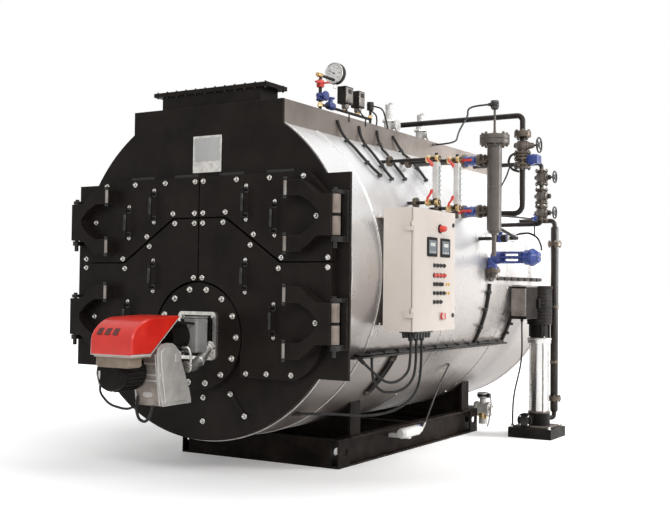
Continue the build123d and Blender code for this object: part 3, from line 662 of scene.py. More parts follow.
# Shell: sheet joints with their screws
for y, wide in ((425, 50), (1520, 35), (2620, 35), (3668, 44)):
    rings = []
    for h, r in ((0, 0), (0, 2.2), (wide, 2.2), (wide, 0)):
        ring = []
        for i in range(97):
            a = radians(123 + 294 * i / 96)
            reach = DRUM_R + r
            ring.append(s.put(at(max(reach * cos(a), -EDGE - 3.5), y - wide / 2 + h,
                DRUM_Z + reach * sin(a))))
        rings.append(ring)
    for a, b in zip(rings, rings[1:]):
        for i in range(96):
            s.faces.append((a[i], a[i + 1], b[i + 1], b[i]))
s.done("sheet_joints", cladding)
for y in (411, 1520, 2620, 3668):
    for i in range(49):
        a = radians(124 + 292 * i / 48)
        out = side_on(a)
        p = at(0, y, DRUM_Z) + out * (DRUM_R + 2)
        p.x = max(p.x, -EDGE)
        s.turned(p, out, [(5.5, 0), (5, 2), (3, 3.2), (0, 3.5)], 8)
s.done("sheet_screws", silver)

# Conduits clipped to the shell
clips = Shape()
top_runs = [
    [(640, 665, 2428), (655, 700, 2345), (742, 690, 2248), (835, 665, 2160), (905, 690, 2085),
        (948, 743, 2030)],
    [(640, 975, 2429), (650, 985, 2350), (740, 940, 2250), (828, 900, 2168), (907, 880, 2078),
        (953, 903, 2020)],
    [(640, 1246, 2430), (660, 1235, 2345), (740, 1200, 2250), (847, 1130, 2147), (937, 1134, 2040)],
    [(640, 1500, 2425), (670, 1560, 2330), (745, 1585, 2246), (838, 1541, 2157), (914, 1526, 2072)],
]
for run in top_runs:
    line = []
    for x, y, z in eased(run, 3):
        reach = hypot(x, z - DRUM_Z)
        if reach < DRUM_R + 17 or z < 2300:
            k = (DRUM_R + 17) / reach
            x, z = x * k, DRUM_Z + (z - DRUM_Z) * k
        line.append(at(x, y, z))
    s.tube(line, 10.5, 12)
    for i in (len(line) // 3, 2 * len(line) // 3, len(line) - 2):
        p = line[i]
        out = Vector((p.x, 0, p.z - DRUM_Z)).normalized()
        d = (line[i + 1] - line[i - 1]).normalized()
        clips.disc(p - d * 8, d, 15.5, 16, 3, 16)
        clips.brick(p - out * 8, (30, 30, 12))
for y0, y1, y2, z0, z1 in ((2195, 2140, 2205, 1290, 815), (2830, 2800, 2800, 1075, 815)):
    line = []
    for i in range(25):
        t = i / 24
        z = z0 + (z1 - z0) * t
        y = (1 - t) ** 2 * y0 + 2 * t * (1 - t) * y1 + t * t * y2
        line.append(skin(y, z, 24))
    for i in (3, 10, 17):
        d = (line[i + 1] - line[i - 1]).normalized()
        clips.disc(line[i] - d * 12, d, 21, 24, 4, 16)
s.done("shell_conduits", cable)
clips.done("conduit_clips", handle_black, slot="dark_paint")

# Dark slotted rail low on the rear part
for i in range(7):
    s.brick(skin(2432 + i * 150, 1345, 11), (18, 118, 30), 3)
s.done("slotted_rail", pipe)

# Bundles on the cable tray
for k, z in enumerate((818, 822, 816)):
    line = []
    for i in range(41):
        y = 300 + 2500 * i / 40
        wave = 4 * sin(y * 0.009 + k * 2.1)
        line.append(at(1012 + 13 * k + wave, y, z + 3 * cos(y * 0.007 + k)))
    s.tube(line, 7.5, 10)
for i in range(12):
    y = 450 + i * 200
    s.brick(at(1024, y, 822), (54, 12, 26), 4)
s.done("tray_cables", cable)


# Control panel
face_x = 1380
lamp_z, switch_y, switch_z, key_y = 1655, 816, 1070, 1000
s.turned(at(face_x, 790, lamp_z), X, [(30, 0), (30, 6), (24, 8)], 28)
for y in (669, 871):
    s.plate(rounded(150, 128, 8), at(face_x, y, 1529), Y, Z, 7, 3)
s.done("panel_bezels", motor, "panel_door")
for y in (669, 871):
    s.plate(rounded(112, 90, 4), at(face_x + 6.5, y, 1529), Y, Z, 2, 1)
s.done("panel_displays", screen, "panel_door")
for y in (669, 871):
    for k in range(4):
        s.brick(at(face_x + 9, y - 36 + 24 * k, 1495), (1, 14, 6), 1)
    s.brick(at(face_x + 9, y, 1545), (1, 70, 22), 1)
s.done("display_marks", white, "panel_door", slot=None)
s.turned(at(face_x + 8, 790, lamp_z), X, [(22, 0), (22, 20), (19, 34), (12, 42), (0, 45)], 28)
for y in (705, 755, 805, 855):
    s.turned(at(face_x + 5, y, 1342), X, [(13, 0), (13, 10), (10, 14), (0, 15)], 20)
s.turned(at(face_x + 6, switch_y, switch_z), X, [(24, 0), (24, 12), (20, 18)], 28)
s.brick(at(face_x + 27, switch_y, switch_z), (16, 12, 44), 3)
s.done("panel_red_parts", lever_red, "panel_door")
for y in (705, 755, 805, 855):
    s.turned(at(face_x, y, 1342), X, [(17, 0), (17, 4), (14, 6)], 20)
for z, count in ((1408, 4), (1283, 3), (1224, 4), (1165, 3)):
    for k in range(count):
        y = 705 + 50 * k
        s.turned(at(face_x, y, z), X, [(15, 0), (15, 4), (11, 6), (11, 13), (8, 16)], 18)
        if z == 1283:
            s.brick(at(face_x + 18, y, z), (12, 7, 26), 2)
for z in (1073, 1690):
    s.turned(at(face_x, key_y, z), X, [(15, 0), (15, 6), (12, 9)], 20)
s.done("panel_black_parts", handle_black, "panel_door")
for z in (1283, 1224):
    for k in range(2):
        s.turned(at(face_x, 895 + 40 * k, z), X, [(10, 0), (9, 7), (0, 9)], 16)
s.done("panel_amber_parts", yellow, "panel_door")
s.plate(rounded(60, 60, 4), at(face_x, switch_y, switch_z), Y, Z, 4, 1)
for y in (669, 871):
    s.brick(at(face_x + 1, y, 1612), (3, 50, 12), 1)
s.done("panel_pale_parts", white, "panel_door")
rim = [at(face_x - 13.8, 720 + a, 1375 + b) for a, b in rounded(612, 782, 10)]
for ends in zip(rim, rim[1:] + rim[:1]):
    s.tube(ends, 1.6, 6)
s.done("panel_seal", handle_black)
for y in (435, 1005):
    for z in (1040, 1710):
        s.bolt(at(1157, y, z), -X, 14, False)
for y in (470, 970):
    for z in (1011, 1721):
        s.bolt(at(1100, y, z), Z, 14)
s.done("bracket_bolts", silver)

# Glands under the panel
for k in range(6):
    y = 575 + 42 * k
    for x in (1225, 1305):
        s.turned(at(x, y, 961), -Z, [(13, 0), (13, 14), (11, 16), (11.5, 30), (8, 36)], 6)
for y in (600, 680, 760):
    s.turned(at(1265, y, 960), -Z, [(21, 0), (21, 20), (18.5, 24), (18.5, 40), (16, 52), (12, 56)], 12)
s.done("gland_nuts", handle_black)


# Deck: pressure gauge, small valves and switch boxes, in one row
row_x = 540
gauge = at(row_x, 782, 2788)
s.hoop(gauge - Y * 2, Y, 72, 4.2, 56, 10)
s.turned(at(row_x, 800, 2712), -Z, [(10, 0), (10, 14), (13, 16), (13, 28)], 6)
s.done("gauge_case", silver)
s.turned(gauge - Y * 0.3, -Y, [(69, 0), (69, 0.8)], 40)
s.done("gauge_dial", dial)
for i in range(31):
    a = radians(225 - 270 * i / 30)
    long = 12 if i % 5 == 0 else 6
    out = side_on(a)
    p = gauge + out * 62 - Y * 1.6
    side = side_on(a + pi / 2)
    ids = []
    for k, w in ((0, -0.9), (0, 0.9), (-long, 0.9), (-long, -0.9)):
        ids.append(s.put(p + out * k + side * w))
    s.faces.append(tuple(ids))
tip = side_on(radians(150))
s.tube([gauge - tip * 14 - Y * 3, gauge + tip * 50 - Y * 3], 1.4, 8)
s.disc(gauge - Y * 1, -Y, 6, 4)
s.done("gauge_marks", handle_black)
for i in range(7):
    a = radians(225 - 270 * i / 6)
    text = bpy.data.curves.new("dial_number_%d" % i, "FONT")
    text.body = str(4 * i)
    text.size = 0.013
    text.align_x = "CENTER"
    text.align_y = "CENTER"
    text.extrude = 0.0002
    text.materials.append(handle_black)
    number = add_object("dial_number_%d" % i, text)
    number.rotation_euler = (radians(90), 0, 0)
    number.location = metres(gauge + side_on(a) * 42 - Y * 1.4)
    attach(number, "boiler")

for z in (2612, 2704):
    s.turned(at(row_x, 600, z - 28), Z, [(19, 0), (19, 12), (14, 16)], 6)
s.turned(at(row_x, 600, 2520), Z, [(20, 0), (20, 14), (15, 18), (15, 30)], 6)
s.turned(at(row_x, 560, 2740), Y, [(15, 0), (17, 4), (17, 50)], 16)
switch_rows = ((945, 108), (1128, 84))
for y in (945, 1128, 1320):
    s.turned(at(row_x, y, 2545), Z, [(17, 0), (17, 18), (12, 22)], 6)
s.done("stand_fittings", brass)
s.turned(at(row_x, 600, 2655), Z, [(24, 0), (28, 6), (28, 45), (22, 52)], 20)
s.brick(at(575, 600, 2682), (85, 20, 10), 4)
s.brick(at(555, 555, 2682), (20, 80, 12), 4)
s.done("stand_red_valve", lever_red)
s.turned(at(row_x, 600, 2560), Z, [(26, 0), (30, 8), (26, 20), (30, 34), (30, 50), (20, 56)], 20)
s.turned(at(545, 595, 2590), X, [(22, 0), (22, 30), (34, 36), (36, 48), (30, 56), (0, 58)], 20)
s.turned(at(row_x, 700, 2545), Y, [(24, 0), (28, 10), (28, 70), (22, 80)], 18)
s.turned(at(row_x, 740, 2560), Z, [(18, 0), (18, 30), (30, 36), (30, 46), (0, 50)], 18)
s.done("stand_blue_valve", blue)
for y, deep in switch_rows:
    s.brick(at(row_x, y, 2655), (72, deep, 118), 8)
    s.brick(at(577, y, 2660), (4, deep - 20, 85), 2)
    s.turned(at(row_x, y, 2555), Z, [(22, 0), (28, 12), (28, 30), (18, 40), (0, 42)], 20)
s.done("switch_boxes", switch_grey)
for y, deep in switch_rows:
    s.brick(at(580, y, 2680), (2, 45, 30), 1)
s.turned(at(row_x, 1320, 2618), Z, [(18, 0), (26, 10), (28, 30), (22, 44), (0, 48)], 20)
s.hose([(545, 1330, 2640), (620, 1370, 2620), (635, 1400, 2530), (640, 1420, 2470)], 6, 10)
s.hose([(545, 1330, 2600), (600, 1310, 2560), (610, 1300, 2500), (600, 1300, 2476)], 6, 10)
for y0, y1, y2 in ((900, 860, 840), (1100, 1090, 1080)):
    s.hose([(545, y0, 2600), (600, y1, 2530), (636, y2, 2500), (636, y2, 2440)], 5, 10)
s.done("deck_small_lines", cable)


# Level gauges: glass bodies, cocks and red levers
clear, levers, cocks = Shape(), Shape(), Shape()
level_gauges = ((1000, 1815, 2200), (1350, 1800, 2230))
for y, z0, z1 in level_gauges:
    mid = (z0 + z1) / 2
    tall = z1 - z0 - 130
    s.brick(at(1252, y, mid), (40, 52, tall), 4)
    clear.brick(at(1273.5, y, mid), (4, 18, tall - 50), 1)
    for k in range(7):
        z = mid - tall / 2 + 30 + (tall - 60) * k / 6
        for dy in (-19, 19):
            s.bolt(at(1272, y + dy, z), X, 11, False)
    for z in (z0 + 40, z1 - 40):
        cocks.turned(at(1175, y, z), X, [(24, 0), (26, 6), (26, 28), (20, 34), (20, 70), (27, 76), (27, 94),
            (16, 102), (0, 104)], 26)
        cocks.turned(at(1210, y - 4, z), -Y, [(12, 0), (12, 50), (16, 52), (16, 60), (0, 62)], 14)
        tip = 55 if z < mid else -30
        levers.hose([(1210, y - 58, z), (1214, y - 64, z + tip / 2), (1236, y - 60, z + tip)], 8.5, 12, 2)
        levers.turned(at(1236, y - 60, z + tip), (0.4, 0, 1 if tip > 0 else -1), [(0, -4), (11, 0),
            (12, 20), (8, 32), (0, 34)], 14)
s.done("gauge_bodies", white)
clear.done("gauge_glasses", gauge_glass)
levers.done("gauge_levers", lever_red)
cocks.done("gauge_cocks", brass)
for y, z0, z1 in level_gauges:
    for z in (z0 + 40, z1 - 40):
        x0 = sqrt(DRUM_R ** 2 - (z - DRUM_Z) ** 2)
        s.flange(at(x0 + 50, y, z), X, 38, 12, 4, 12)
        s.flange(at(x0 + 64, y, z), X, 38, 12, 0, 12)
    s.turned(at(1250, y, z0 - 30), -Z, [(13, -30), (13, 0), (10, 6)], 6)
s.done("gauge_flanges", flange_steel)

# Level column: head flange bolts, collars, probe and branch valves
cx, cy = 1420, 1640
for a, b in around(8, 89, pi / 8):
    p = at(cx + a, cy + b, 2398)
    s.bolt(p, Z, 19)
    s.bolt(p - Z * 68, -Z, 19)
s.done("column_bolts", flange_steel)
s.turned(at(cx, cy, 1690), -Z, [(54, -12), (52, 0), (40, 18), (24, 26), (20, 34)], 32)
s.turned(at(cx, cy, 2335), -Z, [(62, 0), (64, 10), (55, 24)], 32)
s.turned(at(cx, cy, 2010), Z, [(54.5, 0), (55.5, 3), (54.5, 6)], 32)
s.done("column_collars", column_paint)
s.turned(at(cx, cy, 2398), Z, [(22, 0), (22, 16), (12, 22), (6.5, 24), (6.5, 190)], 12)
s.done("probe_rod", silver)
s.turned(at(cx, cy, 2588), Z, [(20, 0), (27, 12), (32, 22), (32, 50), (26, 62), (12, 68)], 24)
s.turned(at(cx - 20, cy, 2630), -X, [(15, 0), (15, 20), (12, 24), (9.5, 34)], 12)
s.done("probe_head", handle_black)
metal = Shape()
for z in (2215, 1835):
    for x, r in ((1168, 50), (1306, 50), (1340, 44)):
        metal.flange(at(x, cy, z), X, r, 12)
    s.turned(at(1184, cy, z), X, [(46, 0), (48, 6), (40, 14), (34, 30), (40, 50), (36, 78), (42, 100),
        (48, 108), (46, 118)], 24)
    s.turned(at(1242, cy, z), -Y, [(28, 0), (30, 10), (30, 45), (22, 52), (22, 62), (0, 64)], 20)
    levers.brick(at(1225, cy - 68, z), (85, 12, 18), 4)
    levers.turned(at(1186, cy - 68, z - 10), -X, [(11, 0), (13, 10), (12, 30), (0, 34)], 14)
s.done("branch_valves", blue)
metal.done("branch_flanges", flange_steel)
levers.done("branch_levers", lever_red)

# Steam stack beside the column
sx, sy = 1530, 1925
for way in (Z, -Z):
    s.flange(at(sx, sy, 2434), way, 64, 22, 4, 20)
for z in (2286, 2265, 2241, 2198, 2174):
    s.flange(at(sx, sy, z), Z, 64, 14)
s.flange(at(370, sy, 2476), Z, 55, 16, 4, 18)
s.done("stack_flanges", flange_steel, slot="pipe_black")
bend_z, bend_r = 1896, 61
down = [at(sx, sy, 2436), at(sx, sy, bend_z)]
for i in range(9):
    a = radians(90 * i / 8)
    down.append(at(sx - bend_r + bend_r * cos(a), sy, bend_z - bend_r * sin(a)))
down.append(at(1032, sy, bend_z - bend_r))
s.tube(down, 21, 24)
s.done("stack_pipe", pipe, replaces=["stop_valve"])
s.turned(at(sx, sy, 2302), Z, [(34, 0), (40, 14), (52, 30), (54, 48), (46, 68), (36, 82), (0, 86)], 28)
s.turned(at(sx + 30, sy, 2345), X, [(34, 0), (34, 16), (26, 22), (20, 56), (12, 60), (12, 64)], 20)
s.turned(at(sx - 65, sy, 2352), X, [(18, 0), (22, 10), (22, 30), (0, 36)], 16)
s.turned(at(sx, sy, 2211), Z, [(34, 0), (40, 12), (40, 38), (34, 50)], 24)
s.done("stop_valve_body", cast_dark)
s.brick(at(sx + 64, sy, 2238), (68, 44, 36), 4)
s.brick(at(sx + 64, sy, 2259), (50, 60, 6), 2)
s.done("actuator_bracket", silver)
s.brick(at(sx + 92, sy, 2238), (90, 90, 68), 10)
s.turned(at(sx + 92, sy, 2271), Z, [(24, 0), (24, 4), (18, 7)], 20)
s.brick(at(sx + 86, sy - 30, 2199), (30, 16, 12), 3)
s.done("stack_actuator", blue)
s.hose([(sx - 30, sy - 10, 2300), (sx - 85, sy - 30, 2275), (sx - 100, sy - 40, 2220),
    (sx - 70, sy - 30, 2165), (sx - 20, sy - 10, 2150)], 9, 12)
s.hose([(sx - 90, sy - 30, 2190), (sx - 110, sy - 50, 2110), (sx - 130, sy - 120, 2020),
    (cx + 45, cy + 20, 1960)], 6, 10)
s.done("stack_hoses", cable)


def wheel(name, p, r):
    """A hand wheel with four spokes, on the body of its own name."""
    s = Shape()
    s.hoop(p + X * 5.8, X, r - 6.5, 6.2, 44, 12)
    for a, b in around(4, 1, pi / 4):
        out = Vector((0, a, b))
        s.tube([p + X * 6 + out * 10, p + X * 4 + out * r * 0.5, p + X * 6 + out * (r - 9)], 4.8, 8)
    s.turned(p - X * 2, X, [(14, 0), (16, 3), (16, 11), (9, 14)], 20)
    s.turned(p, -X, [(7.2, 0), (7.2, 30)], 12)
    s.done(name + "_rim", wheel_black, name, replaces=[name])


wheel("stop_wheel", at(1656, 1925, 2345), 62)
wheel("drain_wheel_upper", at(1556, 2570, 2172), 52)
wheel("drain_wheel_lower", at(1556, 2570, 1882), 52)

# Valves one above the other
vx, vy = 1450, 2570
metal = Shape()
for z in (2172, 2018, 1882):
    s.turned(at(vx, vy, z - 48), Z, [(30, 0), (36, 12), (46, 34), (48, 48), (44, 66), (34, 84), (30, 96)],
        26)
    s.turned(at(vx + 20, vy, z), X, [(32, 0), (32, 16), (36, 18), (36, 26), (22, 32), (17, 52), (0, 56)],
        20)
    s.turned(at(vx - 20, vy, z), -X, [(28, 0), (26, 14), (16, 22), (16, 36), (0, 38)], 20)
    for dz in (-60, 48):
        metal.flange(at(vx, vy, z + dz), Z, 53, 12, size=14)
s.done("stack_bodies", cast_dark)
metal.done("stack_rings", flange_steel)
s.turned(at(vx - 20, vy - 20, 1836), -X, [(20, 0), (24, 8), (24, 30), (16, 40), (16, 55), (0, 56)], 18)
s.brick(at(vx - 45, vy - 20, 1866), (44, 14, 10), 3)
s.done("stack_blue_cock", blue)
s.tube([at(cx + 20, cy, 1800), at(cx + 60, cy + 300, 1806), at(vx - 60, vy - 60, 1832)], 7.5, 10)
s.tube([at(vx - 50, vy - 20, 1825), at(vx - 50, vy - 20, 1700)], 6.5, 10)
s.done("balance_lines", pipe)

# Blue control valve: round head, yoke with discs, stem, foot flanges and cable
kx, ky, kz = 1178, 2200, 1508
s.turned(at(1455, ky, kz), X, [(48, 0), (56, 6), (58, 20), (58, 40), (68, 46), (70, 54), (70, 66), (62, 78),
    (48, 100), (40, 108), (40, 116)], 36)
for a, b in around(10, 61):
    s.bolt(at(1503, ky + a, kz + b), -X, 11, False)
s.turned(at(kx, ky, kz), X, [(46, 0), (49, 8), (42, 22), (50, 40), (50, 56), (36, 66), (26, 74), (26, 86)],
    28)
s.turned(at(kx, ky, 1425), Z, [(45, 0), (47, 12), (36, 24), (36, 70)], 26)
for dz in (-38, 38):
    s.brick(at(1347, ky, kz + dz), (228, 42, 18), 4)
    s.brick(at(1270, ky, kz + dz * 0.55), (40, 16, 30), 4)
    s.brick(at(1420, ky, kz + dz * 0.55), (50, 16, 30), 4)
for x in (1250, 1262, 1430, 1444):
    s.disc(at(x, ky, kz), X, 47, 5, 1, 30)
s.done("control_valve_form", blue)
s.tube([at(1250, ky, kz), at(1458, ky, kz)], 6, 12)
s.turned(at(1330, ky, kz), X, [(16, 0), (16, 22), (10, 26), (10, 50)], 6)
s.turned(at(1571, ky, kz), X, [(10, 0), (10, 12), (6, 14), (6, 24)], 12)
s.done("control_valve_stem", silver)
for way in (Z, -Z):
    s.flange(at(kx, ky, 1404), way, 62, 14, 4, 18)
s.turned(at(kx, ky, 1390), -Z, [(34, 0), (34, 30), (50, 34), (50, 46)], 26)
s.done("control_valve_flanges", flange_steel)
s.hose([(1300, 2170, 1640), (1400, 2170, 1690), (1490, 2180, 1700), (1560, 2190, 1660), (1585, 2200, 1590),
    (1585, 2200, 1560)], 8, 12)
s.done("actuator_conduit", cable)

# Small blue lever valve
ly, lz = 2100, 1655
s.turned(at(1220, ly, lz), X, [(24, 0), (26, 8), (26, 26), (20, 34), (31, 52), (31, 78), (20, 94),
    (26, 102), (26, 120), (0, 122)], 24)
s.turned(at(1285, ly, lz + 20), Z, [(18, 0), (18, 22), (10, 26)], 16)
s.brick(at(1250, ly, lz + 47), (110, 22, 10), 4)
s.done("lever_valve_form", blue)
s.hoop(at(1385, ly, lz), Y, 26, 4, 28, 8)
s.hoop(at(1385, ly + 20, lz + 17), Y, 20, 3.5, 28, 8)
s.turned(at(1342, ly, lz), X, [(17, 0), (17, 20), (12, 24)], 6)
s.done("lever_valve_loops", silver)

# Safety valves: collars, bolts and levers
for y in (1690, 2250):
    s.turned(at(500, y, 2475), Z, [(64, 0), (64, 18), (50, 20)], 28)
    s.turned(at(500, y, 2570), Z, [(50, 0), (50, 14)], 28)
    for a, b in around(4, 40, pi / 4):
        s.bolt(at(500 + a, y + b, 2584), Z, 12, False)
    s.tube([at(500, y, 2708), at(530, y - 30, 2716), at(562, y - 55, 2700)], 6, 10)
s.done("safety_trim", silver)


# Feed pump
px, py = 1270, 3035
for k in range(9):
    z = 985 + 30 * k
    s.turned(at(px, py, z), Z, [(106, 0), (109, 3), (109, 8), (106, 11)], 36)
s.turned(at(px, py, 1262), Z, [(109, 0), (111, 6), (111, 20), (98, 27.5)], 36)
for a, b in around(6, 86):
    s.brick(at(px + a, py + b, 895), (16, 16, 130), 4)
s.brick(at(px, py - 118, 1140), (95, 30, 85), 8)
s.done("pump_motor_ribs", motor)
s.turned(at(px, py, 828), Z, [(101, 0), (104, 4), (104, 14), (90, 20)], 32)
for a, b in around(4, 1, pi / 4):
    s.bolt(at(px + 93 * a, py + 93 * b, 846), Z, 14, False)
    s.tube([at(px + 86 * a, py + 86 * b, z) for z in (212, 812)], 6.5, 10)
s.done("pump_tie_rods", silver)
s.turned(at(px, py, 205), Z, [(94, 0), (96, 6), (88, 16)], 32)
s.turned(at(px, py, 800), Z, [(82, 0), (98, 10), (100, 22)], 32)
s.brick(at(px - 20, py, 92), (300, 300, 16), 6)
s.done("pump_castings", cast_dark, slot="motor_dark")
inlet_x, inlet_y, inlet_z = px - 65, 2853, 150
s.turned(at(inlet_x, inlet_y, inlet_z), Y, [(58, 0), (62, 4), (62, 16), (40, 22), (36, 50)], 30)
s.turned(at(inlet_x, inlet_y - 1, inlet_z), -Y, [(36, -3), (40, 0), (36, 1.5)], 26)
s.done("pump_inlet", wheel_black, slot="motor_dark")
for x in (1085, 1415):
    for y in (2875, 3195):
        s.bolt(at(x, y, 85), Z, 20)
for a, b in around(4, 50, pi / 4):
    s.bolt(at(inlet_x + a, inlet_y, inlet_z + b), -Y, 14, False)
s.done("pump_bolts", silver)
s.brick(at(1225, 2817, 1282), (134, 320, 10), 4)
s.brick(at(1225, 2656, 1150), (128, 6, 230), 3)
s.done("pump_box_lid", switch_grey)
feed_x, feed_y = 1345, 3200
for z in (300, 318, 1640, 1658):
    s.flange(at(feed_x, feed_y, z), Z, 60, 16)
s.done("feed_flanges", flange_steel, slot="pipe_black")
s.turned(at(feed_x, feed_y, 200), Z, [(22, 0), (31, 10), (33, 20), (33, 1590), (31, 1600), (22, 1610)], 32)
s.done("feed_upright", pipe)

# Blowdown valve: black drive on a brass body between two flanges
bx, by = 717, 3120
s.turned(at(bx, by, 285), Z, [(40, 0), (50, 8), (53, 18), (53, 36), (46, 50), (0, 54)], 30)
s.turned(at(760, 3110, 312), X, [(20, 0), (22, 6), (20, 30), (0, 32)], 18)
s.hose([(786, 3110, 312), (800, 3110, 260), (802, 3060, 100), (802, 3020, 50)], 5, 10)
s.done("blowdown_drive", handle_black)
s.turned(at(bx, by, 205), Z, [(32, 0), (32, 26), (26, 32), (26, 82)], 24)
s.turned(at(bx, by, 150), -Z, [(40, -20), (42, 20), (36, 60), (28, 90), (0, 92)], 24)
s.done("blowdown_brass", brass)
for x in (648, 770):
    s.flange(at(x, by, 190), X, 67, 16)
s.done("blowdown_flanges", silver)

# Filter on the rail: ribs, caps and the blue fitting
s.turned(at(790, 1385, 170), Y, [(28, 0), (34, 6), (34, 16), (39, 20), (39, 85), (36, 89), (36, 97),
    (39, 101), (39, 180), (36, 184), (36, 192), (39, 196), (39, 268), (30, 280)], 30)
s.done("filter_body", filter_white)
s.turned(at(790, 1664, 170), Y, [(22, 0), (26, 4), (26, 26), (20, 34), (16, 58)], 8)
s.brick(at(790, 1690, 199), (14, 36, 20), 3)
s.done("filter_fitting", blue)

# Clamps of the two short drain pipes and of the feed pipe
for y in (860, 905):
    for z in (520, 760):
        s.disc(skin(y, z, 12) - Z * 10, Z, 17, 20, 2, 16)
for z in (1100, 620):
    s.disc(at(feed_x, feed_y, z), Z, 38, 20, 2, 24)
s.done("pipe_clamps", flange_steel, slot="pipe_black")


# Burner: red cowl with three recesses and a light lower lip
def side_plate(outline, x0, x1, edge):
    """A plate from x0 to x1 with an outline seen from the side."""
    s.plate([(y + FRONT, z) for y, z in outline], Vector((x0, 0, 0)), Y, Z, x1 - x0, edge)


cowl = [(-876, 836), (-876, 915), (-870, 945), (-854, 974), (-830, 1000), (-800, 1022), (-765, 1040),
    (-725, 1052), (-680, 1058), (-432, 1066), (-440, 1058), (-705, 836)]
side_plate(cowl, -169, 169, 10)
s.done("burner_cowl", red, replaces=["burner_hood"])
# The three recesses are raised plates in a darker red of painted shade
for x in (-104, -40, 24):
    s.plate(rounded(42, 52, 8), at(x, -851.5, 971.5), X, Vector((0, 0.63, 0.777)), 4.5, 1)
s.done("cowl_recesses", red_shadow)
s.tube([at(-165, -871, 834), at(165, -871, 834), at(165, -704, 834)], 4.8, 10)
s.tube([at(-165, y, 834) for y in (-871, -704)], 4.8, 10)
s.tube([at(167.5, -704, 836), at(167.5, -440, 1058)], 2.2, 8)
s.done("cowl_lip", white)

housing = [(-605, 820), (-598, 862), (-572, 884), (-520, 893), (-460, 889), (-426, 872), (-404, 842),
    (-380, 786), (-330, 670), (-292, 580), (-279, 530), (-277, 505), (-548, 505), (-560, 560), (-582, 660)]
side_plate(housing, -74, 122, 6)
s.done("housing_core", core_grey, replaces=["burner_housing"])
grown = [(y - 4, z + 4) for y, z in housing[:6]] + [(y + 4, z) for y, z in housing[6:12]]
grown += [(-545, 503), (-566, 560), (-590, 660)]
side_plate(grown, 120, 136, 4)
my, mz = (sum(place[k] for place in housing) / len(housing) for k in (0, 1))
inner = [(my + (y - my) * 0.86, mz + (z - mz) * 0.9) for y, z in housing]
side_plate(inner, 134, 146, 6)
s.plate(rounded(58, 58, 6), Vector((145, -425 + FRONT, 800)), Y, Z, 8, 3)
for y, z in ((-570, 840), (-420, 840), (-330, 640), (-300, 530), (-530, 530), (-575, 700)):
    s.turned(Vector((134, y + FRONT, z)), X, [(12, 0), (12, 8), (8, 11)], 12)
s.done("housing_cover", cast)
for z in (770, 700, 664):
    y = -605 + (820 - z) * 55 / 315
    s.brick(at(24, y - 2, z), (190, 16, 10), 3)
for x in (-70, 116):
    s.tube([at(x, -607, 830), at(x, -588, 700), at(x, -556, 510)], 6, 10)
s.plate([(a, b / 2) for a, b in around(24, 40)], at(24, -558, 575), X, Z, 12, 4)
s.done("housing_ribs", cast)

mx, mz = -70, 715
s.turned(at(mx, -820, mz), Y, [(60, 4), (88, 0), (104, 8), (112, 26), (112, 50), (108, 54), (108, 200),
    (112, 206), (112, 222), (80, 232)], 40)
for a, b in around(28, 1):
    out, flat = Vector((a, 0, b)), Vector((-b, 0, a))
    if out.z > 0.8:
        continue
    base = at(mx, -764, mz) + out * 107
    ids = []
    for j, h in ((0, 0), (1, 0), (1, 1), (0, 1)):
        for w in (-1.8, 1.8):
            ids.append(s.put(base + Y * 140 * j + out * 12 * h + flat * w))
    s.faces += [(ids[0], ids[2], ids[4], ids[6]), (ids[1], ids[7], ids[5], ids[3]), (ids[6], ids[4], ids[5],
        ids[7]), (ids[0], ids[6], ids[7], ids[1]), (ids[2], ids[3], ids[5], ids[4])]
s.turned(at(mx, -590, mz), Y, [(62, 0), (62, 60)], 30)
s.brick(at(mx, -700, 838), (120, 150, 60), 8)
s.turned(at(0, -640, 925), Y, [(36, 0), (36, 230)], 24)
s.done("burner_motor_form", motor, replaces=["burner_motor"])
s.brick(at(-10, -792, 795), (270, 120, 78), 12)
s.done("burner_motor_cover", cover_beige)
s.brick(at(-10, -760, 826), (300, 190, 16), 5)
s.brick(at(-78, -640, 872), (165, 260, 70), 8)
s.done("motor_shelf", cream)
s.brick(at(-150, -802, 700), (30, 34, 70), 6)
s.turned(at(-150, -802, 666), -Z, [(12, 0), (14, 8), (12, 26), (0, 28)], 14)
s.hose([(-150, -802, 735), (-150, -805, 770), (-120, -800, 800), (-80, -780, 812)], 6, 10)
s.done("burner_connector", filter_white)

# Mounting frame, throat, grey box, elbow and rods
outer = rounded(318, 318, 30, 7)
hole = rounded(272, 272, 14, 7)
rings = []
for ring, lift in ((outer, 0), (outer, 22), (hole, 26), (hole, 4)):
    rings.append([s.put(at(10 + a, -50 - lift, 925 + b)) for a, b in ring])
for a, b in zip(rings, rings[1:] + rings[:1]):
    s.join(a, b)
for x, z in ((138, 1048), (138, 802), (-118, 1048), (-118, 802)):
    s.bolt(at(x, -60, z), -Y, 20)
s.done("mount_frame", silver, replaces=["burner_flange"])
s.plate(rounded(276, 276, 12), at(10, -50, 925), X, Z, 10, 2)
s.turned(at(0, -58, 925), -Y, [(125, 0), (125, 10), (98, 16), (96, 350)], 36)
for z in (850, 925, 1000):
    s.brick(at(118, -64, z), (10, 12, 66), 3)
s.brick(at(10, -270, 965), (120, 150, 110), 8)
s.tube([at(100, -250, 850), at(30, -420, 860)], 10, 10)
s.tube([at(130, -240, 1010), at(60, -430, 1030)], 8, 10)
s.done("burner_throat", motor)
s.brick(at(96, -190, 935), (104, 116, 224), 8)
s.brick(at(150, -190, 935), (6, 100, 206), 3)
s.brick(at(96, -190, 1050), (110, 122, 10), 3)
for y in (-236, -144):
    for z in (845, 1025):
        s.turned(at(152, y, z), X, [(5, 0), (4, 3), (0, 3.5)], 10)
s.done("burner_grey_box", grey)
elbow = eased([at(120, -330, 735), at(122, -235, 735), at(124, -150, 790), at(122, -62, 868)], 3)
s.tube(elbow, 34, 24)
